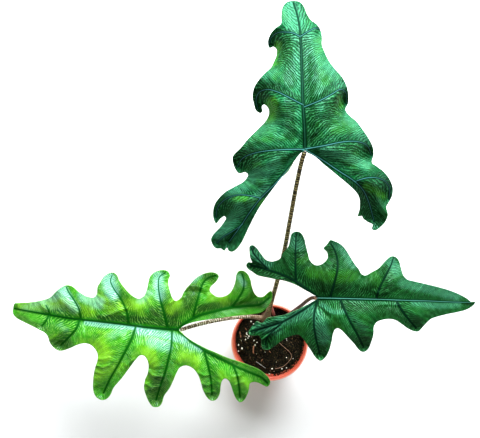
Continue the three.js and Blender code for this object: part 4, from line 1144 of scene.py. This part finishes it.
def blade_numbers(points, faces, leaf):
    """Height of the blade's upper face over plan points, the rib's height under them, and the numbers that
    its finish reads."""
    rows = [smooth_row(path, False, VEIN_STEP) for _, path in leaf["veins"]]
    level, outward = pull_of_veins(points, rows)
    puff, lead, below, groove, numbers = beside_veins(points, leaf, rows)
    gap, clear = numbers["gap"], numbers["clear"]
    on_vein = gap < ON_VEIN * FINE

    def barred(start, stop):
        """Which edges lie on a vein or cross one. The veinlets of a vein's two sides don't meet."""
        crossing = (lead[start] == -lead[stop]) & (np.maximum(gap[start], gap[stop]) < BY_VEIN * FINE)
        return on_vein[start] | on_vein[stop] | crossing

    across = np.column_stack([-outward[:, 1], outward[:, 0]]) / VEINLET_GAP
    flow = even_field(points, faces, across, barred)
    coarse = smooth_row(leaf["outline"], True, COARSE)
    edge, round_place, _ = nearest(points, coarse, True)
    margin = np.exp(-((edge / MARGIN_REACH) ** 2))
    wave = leaf["wave"] * np.sin(round_place / len(coarse) * math.tau * MARGIN_WAVES)
    veinlet = np.abs((flow + 0.5 * ripple(points, *VEINLET_RIPPLE)) % 1 - 0.5) * 2
    fold = np.sin(math.tau * flow / FOLD_EVERY + 2 * ripple(points, *FOLD_RIPPLE))

    height = level + puff + UNEVEN_RISE * ripple(points, *UNEVEN_RIPPLE) * smoothstep(gap, *UNEVEN_START)
    height += margin * (wave - leaf["droop"] * np.minimum(1, gap / DROOP_REACH))
    height -= VEINLET_RISE * (1 - veinlet) * clear
    height += FOLD_RISE * fold * smoothstep(gap, *FOLD_START)
    for rise in near_lines(points, leaf["folds"]):
        height += rise
    height += groove
    numbers |= {"flow": flow, "edge": edge}
    for label, marks in leaf["marks"].items():
        numbers[label] = np.max([np.zeros(len(points)), *near_lines(points, marks)], axis=0)
    return height * MM, below * MM, numbers


# How far a normal leans from upright, from where a face starts to look turned away to where it fully does
# The finish paints shade on turned faces, and dulls their gloss
TURNED = (0.15, 0.5)


def make_blade(name, leaf, material):
    """One blade: an upper and a lower face of the same triangles, closed by a strip along the margin."""
    outline = smooth_row(leaf["outline"], True, FINE)
    points, faces = triangles_between(outline, [path for _, path in leaf["veins"]])
    height, below, numbers = blade_numbers(points, faces, leaf)
    top = on_plan(np.column_stack([points, height]))
    normals = corner_normals(top, faces)
    bottom = top - normals * (BLADE + below)[:, None]
    sides = {}
    for a, b, c in faces.tolist():
        for start, end in ((a, b), (b, c), (c, a)):
            if sides.pop((end, start), None) is None:
                sides[start, end] = True
    count = len(points)
    strip = [(end, start, start + count, end + count) for start, end in sides]
    every = [*map(tuple, faces.tolist()), *map(tuple, (faces[:, ::-1] + count).tolist()), *strip]
    numbers = {label: np.tile(values, 2) for label, values in numbers.items()}
    numbers["under"] = np.repeat([0.0, 1.0], count)
    numbers["turned"] = np.tile(smoothstep(1 - normals[:, 2], *TURNED), 2)
    flat = range(2 * len(faces), len(every))
    return add_object(name, mesh_from(name, np.vstack([top, bottom]), every, numbers, flat, material))


# Stalks, pot and soil


def line_mesh(name, places, thickness=None):
    """Points joined in a row, with the thickness of the tube at each of them."""
    edges = [(i, i + 1) for i in range(len(places) - 1)]
    mesh = bpy.data.meshes.new(name)
    mesh.from_pydata([tuple(p) for p in places], edges, [])
    if thickness is not None:
        mesh.attributes.new("thickness", "FLOAT", "POINT").data.foreach_set("value", thickness)
    return mesh


SHEATH_SHARE = 0.09
STALK_END = 4.2 * MM


def make_stalk(name, row, rule, material):
    """One stalk: a tapering tube with a flared, sheathing base, which ends inside its blade's midrib."""
    (base, along, end), path = row
    knots = on_plan(np.array(path, float) * (1, 1, MM))
    line = smooth_row(knots, False, 1.5 * MM)
    length = np.append(0, np.linalg.norm(np.diff(line, axis=0), axis=1).cumsum())
    share = length / length[-1]
    radius = along + (end - along) * share + (base - along) * np.exp(-((share / SHEATH_SHARE) ** 2))
    kept = length < length[-1] - STALK_END
    return grow(name, line_mesh(name, line[kept], radius[kept] * MM), rule, material, sides=28)


def wall_radius(height):
    """Radius of the pot's inner wall."""
    return FOOT_RADIUS - WALL + WALL_LEAN * height


BEND_POINTS = 5


def pot_section():
    """Half section of the pot, from the middle of its underside round the rim to the middle of its floor."""
    under = POT_HEIGHT - COLLAR_DEPTH
    ledge = POT_HEIGHT - LIP_DEPTH
    collar = RIM_RADIUS - 1.2 * MM
    inner = RIM_RADIUS - LIP_WIDTH
    corners = [  # Radius and height, and how far from the corner its bend starts, which is in millimetres
        (0, 0, 0),
        (FOOT_RADIUS, 0, 1.6),
        (wall_radius(under) + WALL, under - 1 * MM, 1.0),
        (collar - 1 * MM, under, 0.8),
        (collar, ledge, 0.5),
        (RIM_RADIUS, ledge + 0.8 * MM, 0.6),
        (RIM_RADIUS, POT_HEIGHT, 1.1),
        (inner, POT_HEIGHT, 0.9),
        (inner, ledge + 0.2 * MM, 0.4),
        (wall_radius(ledge), ledge - 0.4 * MM, 0.5),
        (wall_radius(FLOOR), FLOOR, 1.4),
        (0, FLOOR, 0),
    ]
    section = []
    for i, (radius, height, bend) in enumerate(corners):
        here = np.array([radius, height])
        if bend == 0:
            section.append(here)
            continue
        ends = []
        for j in (i - 1, i + 1):
            away = np.array(corners[j][:2]) - here
            ends.append(here + away / np.linalg.norm(away) * min(bend * MM, np.linalg.norm(away) / 2))
        start, stop = ends
        bends = np.linspace(0, 1, BEND_POINTS)
        section += [(1 - t) ** 2 * start + 2 * t * (1 - t) * here + t * t * stop for t in bends]
    return section


def make_pot(material):
    places = [(radius - RIM_RADIUS, -height, 0) for radius, height in pot_section()]
    return grow("pot_shell", line_mesh("pot_section", places), turned_rule(), material)


# Lumps of the soil's top: their radius and rise, and how far the level between them is sunk, in millimetres
LUMPS = 70
LUMP_RADIUS = (2.5, 6.5)
LUMP_RISE = (0.6, 2.8)
LUMP_SINK = 1.2
LUMP_SEED = 7
SOIL_EDGE = 48.6 * MM
SOIL_RINGS = 70
SOIL_SPOKES = 190

# Crumbs on the lumps: their rise and length in millimetres, and their seed
SOIL_CRUMBS = ((0.35, 4, 3), (0.25, 1.8, 4))


def even_draws(state):
    """Seeded numbers from 0 up to 1."""
    while True:
        state = (state * 1664525 + 1013904223) % 2**32
        yield state / 2**32


def soil_height(places):
    """Height of the soil's top over places in the frame: seeded lumps, with finer crumbs on them."""
    draws = even_draws(LUMP_SEED)
    total = np.full(len(places), SOIL_TOP - LUMP_SINK * MM)
    for _ in range(LUMPS):
        x = (2 * next(draws) - 1) * SOIL_EDGE
        y = (2 * next(draws) - 1) * SOIL_EDGE
        radius, rise = ((low + (high - low) * next(draws)) * MM for low, high in (LUMP_RADIUS, LUMP_RISE))
        away = (places[:, 0] - x) ** 2 + (places[:, 1] - y) ** 2
        total += rise * np.exp(-away / radius**2) * smoothstep(SOIL_EDGE - np.hypot(*places.T), 0, 2 * MM)
    for rise, length, seed in SOIL_CRUMBS:
        total += rise * MM * ripple(places, length * MM, seed)
    return total


def make_soil(material):
    """The filling: a lumpy top, a side just inside the pot's wall, and a level underside."""
    rings = SOIL_EDGE * np.linspace(1, 0, SOIL_RINGS + 1)[:-1]
    angles = np.arange(SOIL_SPOKES) * math.tau / SOIL_SPOKES
    top = np.array([(r * math.cos(a), r * math.sin(a)) for r in rings for a in angles] + [(0, 0)])
    foot = wall_radius(0)
    low = [(foot * math.cos(a), foot * math.sin(a), FLOOR + GAP) for a in angles]
    places = np.vstack([np.column_stack([top, soil_height(top)]), low, [(0, 0, FLOOR + GAP)]])
    middle = SOIL_RINGS * SOIL_SPOKES
    first_low = middle + 1
    inner = middle - SOIL_SPOKES
    faces = []
    for j in range(SOIL_SPOKES):
        k = (j + 1) % SOIL_SPOKES
        for outer in range(0, inner, SOIL_SPOKES):
            faces.append((outer + j, outer + k, outer + SOIL_SPOKES + k, outer + SOIL_SPOKES + j))
        faces.append((inner + j, inner + k, middle))
        faces.append((k, j, first_low + j, first_low + k))
        faces.append((first_low + k, first_low + j, first_low + SOIL_SPOKES))
    return add_object("soil_filling", mesh_from("soil_filling", places, faces, material=material))


PATCH_STEP = 2 * MM


def soil_patch(radius):
    """A piece of the soil's top on which grains are scattered."""
    cells = int(radius // PATCH_STEP) + 1
    line = np.arange(-cells, cells + 1) * PATCH_STEP
    places = np.array([(x, y) for y in line for x in line])
    across = len(line)
    corners = [
        (i * across + j, i * across + j + 1, (i + 1) * across + j + 1, (i + 1) * across + j)
        for i in range(across - 1) for j in range(across - 1)
    ]
    faces = [face for face in corners if max(np.hypot(*places[list(face)].T)) < radius]
    return mesh_from("soil_patch", np.column_stack([places, soil_height(places)]), faces)


def on_soil(spots, lift):
    """Places on the soil's top that lie under these plan points, lifted a little."""
    places = on_plan(np.array([(x, y, SOIL_TOP) for x, y in spots]))
    return [(x, y, z + lift) for x, y, z in np.column_stack([places[:, :2], soil_height(places[:, :2])])]


# Crumbs that cling to the pot's inner wall: their number, the angles that they lie between, in degrees, and
# how high they reach
CLINGING_CRUMBS = 170
CLINGING_ARC = (-85, 10)
CLINGING_RISE = 9 * MM
CLINGING_SEED = 31


def on_wall():
    """Places on the pot's inner wall, above the soil at the near right, which get rarer towards the lip."""
    random_row = random.Random(CLINGING_SEED)
    places = []
    for _ in range(CLINGING_CRUMBS):
        angle = math.radians(random_row.uniform(*CLINGING_ARC))
        height = SOIL_TOP - 0.5 * MM + random_row.random() ** 1.6 * CLINGING_RISE
        radius = wall_radius(height) - 0.3 * MM
        places.append((radius * math.cos(angle), radius * math.sin(angle), height))
    return places


def loose_points(name, places):
    mesh = bpy.data.meshes.new(name)
    mesh.from_pydata(places, [], [])
    return mesh


# Things seen on the soil, as plan points
PERLITE_SPOTS = (
    (246.5, 333), (247, 334.5), (249, 336), (248, 338), (245.5, 339.5), (238.5, 345), (242, 348),
    (238.5, 351), (254, 340.5), (257, 342.5), (251, 321.5), (253.5, 324), (272, 368.5), (282, 369),
    (286.5, 368), (269.5, 374.5), (255, 345),
)
BARK_SPOTS = ((240, 333), (246, 329), (240.5, 336), (270, 352), (262, 360))
DRY_ROOT = ((277, 341), (284, 347), (290, 352.5), (291.5, 357), (288, 362), (283, 366.5), (275, 368.5))
SLIVER = ((256, 361.2), (260.8, 364.6), (265.5, 368))
TWIG = ((253.7, 345.6), (253.3, 349.4), (253.4, 353))
GRAIN_LIFT = 0.5 * MM
FIBRE_LIFT = 1.1 * MM


def make_grains():
    """Crumbs, bark, perlite and dry fibres on the soil and the pot's wall."""
    scattered = grain_rule(True)
    placed = grain_rule(False)
    crumb = earth_finish("dark_crumb", tint(7, 7, 4), tint(62, 55, 32), 300)
    bark = grain_finish("bark_chip", tint(98, 74, 48), tint(54, 40, 26), 600)
    tan = grain_finish("tan_chip", tint(176, 122, 92), tint(120, 80, 58), 500)
    perlite = grain_finish("perlite_grain", tint(255, 253, 244), tint(226, 220, 198), 900)
    perlite_places = on_soil(PERLITE_SPOTS, GRAIN_LIFT)
    chip_places = on_soil(BARK_SPOTS, GRAIN_LIFT)
    pieces = []
    # Name, finish, and where the grains lie: a list of places, or the radius of a round patch in millimetres
    # with the number of grains on a square metre of it. Then the seed, the detail of a grain, its tilt, its
    # smallest and largest size and the depth of its dents in millimetres, and the scale of the dents' noise.
    for name, material, where, seed, detail, tilt, smallest, largest, dents, dent_scale in (
        ("clinging_crumbs", crumb, on_wall(), 6, 2, 1.5, (1, 0.9, 0.8), (3, 2.4, 2), 0.8, 700.0),
        ("fine_crumbs", crumb, (48, 230000.0), 3, 1, 1.5, (0.5, 0.5, 0.4), (1.5, 1.4, 1.1), 0.35, 1500.0),
        ("coarse_crumbs", crumb, (46.5, 42000.0), 8, 2, 0.8, (1.2, 1.1, 0.9), (3.4, 2.8, 2), 0.8, 700.0),
        ("bark_chips", bark, (46, 11000.0), 14, 2, 0.5, (1.6, 0.7, 0.5), (5, 2, 1.1), 0.5, 600.0),
        ("stray_perlite", perlite, (46, 4200.0), 21, 2, 1.0, (0.6, 0.6, 0.5), (1.9, 1.7, 1.4), 0.5, 900.0),
        ("perlite", perlite, perlite_places, 2, 3, 1.0, (1.9, 1.7, 1.4), (3.2, 2.6, 2), 0.8, 600.0),
        ("tan_chips", tan, chip_places, 5, 3, 0.25, (3.5, 1.2, 0.8), (7, 2.2, 1.3), 0.5, 500.0),
    ):
        sizes = {
            "smallest": tuple(side * MM for side in smallest),
            "largest": tuple(side * MM for side in largest),
            "seed": seed, "detail": detail, "tilt": tilt, "dents": dents * MM, "dent_scale": dent_scale,
        }
        if isinstance(where, list):
            pieces.append(grow(name, loose_points(name, where), placed, material, **sizes))
        else:
            radius, density = where
            patch = soil_patch(radius * MM)
            pieces.append(grow(name, patch, scattered, material, density=density, **sizes))
    tube = tube_rule()
    for name, spots, radius, main, shade in (
        ("dry_root", DRY_ROOT, 0.45, tint(170, 138, 116), tint(112, 84, 66)),
        ("grey_sliver", SLIVER, 0.5, tint(182, 184, 180), tint(112, 110, 104)),
        ("tan_twig", TWIG, 0.95, tint(196, 138, 110), tint(140, 92, 70)),
    ):
        row = smooth_row(on_soil(spots, FIBRE_LIFT), False, 1 * MM)
        strip = line_mesh(f"{name}_line", row, [radius * MM] * len(row))
        pieces.append(grow(name, strip, tube, grain_finish(name, main, shade, 800), sides=8))
    return pieces


# Corm, roots and sheath


CORM_RINGS = (  # Radius and height in millimetres
    (3.6, 51), (6.8, 55), (8.6, 63), (8.8, 71), (8, 77), (8.4, 79.5), (7.7, 83), (8.1, 86), (7.4, 90),
    (7.7, 93), (6.9, 97), (6.4, 102.5), (4.5, STEM_TOP),
)


def make_corm(tube, material):
    """Crown and corm, thicker at the level leaf scars."""
    row = smooth_row([(height, radius) for radius, height in CORM_RINGS], False, 0.5)
    line = [(STEM.x, STEM.y, height * MM) for height, _ in row]
    return grow("crown_and_corm", line_mesh("corm_line", line, row[:, 1] * MM), tube, material, sides=48)


# Anchor roots: their ends in millimetres, the height at which they leave the corm, their course as shares of
# the way out to the end and down to it, and their radius at both ends in millimetres
ROOT_ENDS = (
    (-36, 14, 36), (-30, -2, 52), (-20, -16, 26), (-6, -30, 44), (10, -20, 24), (24, -6, 50), (30, 12, 34),
)
ROOT_TOP = 61 * MM
ROOT_COURSE = ((0.08, 0), (0.4, 0.12), (0.75, 0.5), (1, 1))
ROOT_RADIUS = (1.5, 0.8)


def make_roots(tube, material):
    """Anchor roots that run out and down through the soil."""
    pieces = []
    for number, end in enumerate(ROOT_ENDS, 1):
        x, y, z = (c * MM for c in end)
        course = [
            (STEM.x + (x - STEM.x) * out, STEM.y + (y - STEM.y) * out, ROOT_TOP + (z - ROOT_TOP) * down)
            for out, down in ROOT_COURSE
        ]
        line = smooth_row(course, False, 1.5 * MM)
        strip = line_mesh("root", line, np.linspace(*ROOT_RADIUS, len(line)) * MM)
        pieces.append(grow(f"anchor_root_{number}", strip, tube, material, sides=10))
    return pieces


SHEATH_PATH = ((6.4, 36.6, 74), (6, 38.3, 84), (4.8, 43, 95), (3.7, 48.5, 105), (2.6, 54.5, 114))


def make_sheath(tube, material):
    """The pointed sheath of the next leaf."""
    line = smooth_row(np.array(SHEATH_PATH) * MM, False, 0.8 * MM)
    share = np.linspace(0, 1, len(line))
    radius = (2.5 - 2.2 * share**2) * MM
    return grow("pointed_sheath", line_mesh("sheath_line", line, radius), tube, material, sides=20)


# The looks of the three blades: colours, the share that each covers at most, and the reach of the bands along
# a vein, in vein widths. Painted light and shade: the painted sheen, shade, valley, groove, glint and rim colours.

DARK_LEAF = {
    "deep": tint(8, 70, 30),
    "main": tint(17, 98, 52),
    "fresh": tint(82, 160, 34),
    "fresh_share": 0.8,
    "far_off_share": 0.25,
    "shade": tint(12, 56, 8),
    "shade_share": 0.85,
    "painted_sheen": tint(90, 172, 136),
    "painted_sheen_share": 0.65,
    "line": tint(4, 44, 26),
    "line_share": 0.8,
    "crest_glint": tint(84, 164, 116),
    "crest_glint_share": 0.6,
    "groove": tint(2, 26, 16),
    "groove_shade_reach": 2.8,
    "cord": tint(72, 130, 126),
    "trunk": tint(30, 74, 54),
    "cord_reach": 1.0,
    "cord_share": 0.75,
    "valley_shade": tint(6, 56, 26),
    "valley_shade_reach": 5.0,
    "valley_shade_share": 0.35,
    "rim_highlight": tint(30, 96, 50),
    "below": tint(123, 166, 113),
    "below_cord": tint(156, 185, 137),
    "gloss": 0.34,
    "sheen": tint(176, 250, 238),
    "specular": 0.3,
}
BRIGHT_LEAF = DARK_LEAF | {
    "deep": tint(34, 112, 10),
    "main": tint(60, 158, 10),
    "fresh": tint(146, 214, 36),
    "fresh_share": 0.65,
    "far_off_share": 0.4,
    "shade": tint(26, 80, 4),
    "shade_share": 0.92,
    "painted_sheen": tint(150, 204, 206),
    "painted_sheen_share": 0.8,
    "line": tint(16, 84, 10),
    "line_share": 0.7,
    "crest_glint": tint(162, 216, 112),
    "groove": tint(6, 60, 12),
    "groove_shade_reach": 1.9,
    "cord": tint(20, 100, 24),
    "trunk": tint(10, 64, 20),
    "cord_reach": 0.8,
    "valley_shade": tint(14, 86, 8),
    "valley_shade_reach": 6.0,
    "valley_shade_share": 0.7,
    "rim_highlight": tint(90, 160, 40),
    "below": tint(154, 195, 111),
    "below_cord": tint(183, 212, 137),
    "gloss": 0.3,
    "sheen": tint(222, 246, 252),
    "specular": 0.42,
}
DEEP_LEAF = DARK_LEAF | {
    "deep": tint(7, 58, 18),
    "main": tint(13, 80, 28),
    "fresh": tint(46, 106, 14),
    "shade": tint(10, 46, 6),
    "painted_sheen": tint(84, 152, 128),
    "painted_sheen_share": 0.6,
    "crest_glint": tint(76, 152, 94),
    "line": tint(3, 32, 10),
    "line_share": 0.9,
    "groove": tint(2, 24, 14),
    "groove_shade_reach": 2.2,
    "cord": tint(16, 54, 38),
    "trunk": tint(84, 146, 130),
    "cord_reach": 0.6,
    "valley_shade": tint(5, 44, 20),
    "valley_shade_share": 0.55,
    "gloss": 0.36,
    "sheen": tint(190, 250, 218),
    "specular": 0.27,
}


# Studio


FLOOR_REACH = 3
LIGHTS_TARGET = (0, 0.15, 0.2)
WORLD_STRENGTH = 0.22
SENSOR = 36


def area_light(name, place, size, power, color):
    """A round light that looks at the plant."""
    light = bpy.data.lights.new(name, "AREA")
    light.shape = "DISK"
    light.size = size
    light.energy = power
    light.color = color
    lamp = add_object(name, light)
    lamp.location = place
    lamp.rotation_mode = "QUATERNION"
    lamp.rotation_quaternion = (Vector(LIGHTS_TARGET) - Vector(place)).to_track_quat("-Z", "Y")
    return lamp


def make_studio():
    """Pale floor, a strong light beyond the plant, a weak one nearer, and the camera straight above."""
    corners = np.array([(-1, -1, 0), (1, -1, 0), (1, 1, 0), (-1, 1, 0)], float) * FLOOR_REACH
    add_object("floor", mesh_from("floor", corners, [(0, 1, 2, 3)], material=floor_finish()))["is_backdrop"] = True
    area_light("key", (0.3, 1.35, 1.3), 1.2, 88, (0.93, 0.97, 1.0))
    fill = area_light("fill", (-0.6, -0.9, 1.9), 2.0, 11, (1.0, 0.99, 0.97))
    fill.visible_glossy = False

    world = bpy.data.worlds.new("studio")
    world.use_nodes = True
    backdrop = world.node_tree.nodes["Background"]
    backdrop.inputs["Color"].default_value = (1, 1, 1, 1)
    backdrop.inputs["Strength"].default_value = WORLD_STRENGTH
    scene = bpy.context.scene
    scene.world = world
    scene.view_settings.view_transform = "Standard"
    scene.view_settings.look = "Medium High Contrast"

    camera = bpy.data.cameras.new("camera")
    camera.sensor_width = SENSOR
    camera.lens = SENSOR * EYE_HEIGHT / (PICTURE[0] * PLAN_UNIT)
    scene.camera = add_object("camera", camera)
    scene.camera.location = EYE


def main():
    """Makes every piece, and says what it rides on and what it replaces."""
    make_studio()
    tube = tube_rule()
    finishes = {
        "upper": leaf_finish("upper_blade_green", DARK_LEAF),
        "left": leaf_finish("left_blade_green", BRIGHT_LEAF),
        "right": leaf_finish("right_blade_green", DEEP_LEAF),
    }
    brown = stalk_finish("brown_stalk", tint(88, 72, 36), tint(52, 42, 20), tint(180, 164, 112))
    grey = stalk_finish("grey_stalk", tint(128, 104, 80), tint(84, 64, 46), tint(240, 230, 208))
    slim = stalk_finish("slim_stalk", tint(104, 72, 56), tint(72, 46, 36), tint(142, 110, 88))
    stalk_looks = {"upper": brown, "left": grey, "right": slim}
    pieces = []
    for name, leaf in LEAVES.items():
        blade = make_blade(f"{name}_blade", leaf | {"marks": MARKS[name]}, finishes[name])
        stalk = make_stalk(f"{name}_stalk", STALKS[name], tube, stalk_looks[name])
        pieces += [
            (blade, f"blade_{name}", "leaf_bright" if name == "left" else "leaf_dark"),
            (stalk, f"stalk_{name}", "stalk"),
        ]
    pieces.append((make_pot(pot_finish()), "pot", "pot"))
    mix = earth_finish("potting_mix", tint(7, 7, 4), tint(30, 27, 16), 200)
    pieces.append((make_soil(mix), "soil", "soil"))
    pieces.append((make_sheath(tube, sheath_finish()), "new_leaf_sheath", "sheath"))
    skin = corm_finish()
    pieces.append((make_corm(tube, skin), "corm", "corm"))
    pieces += [(root, "corm", "corm") for root in make_roots(tube, skin)]
    for piece, cad_node, slot in pieces:
        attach(piece, "root")
        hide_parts(cad_node)
    for grains in make_grains():
        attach(grains, "root")


main()

dressed_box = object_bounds()
boxes = {"cad": cad_box, "dressed": dressed_box}
{name: [list(corner) for corner in box] for name, box in boxes.items()}
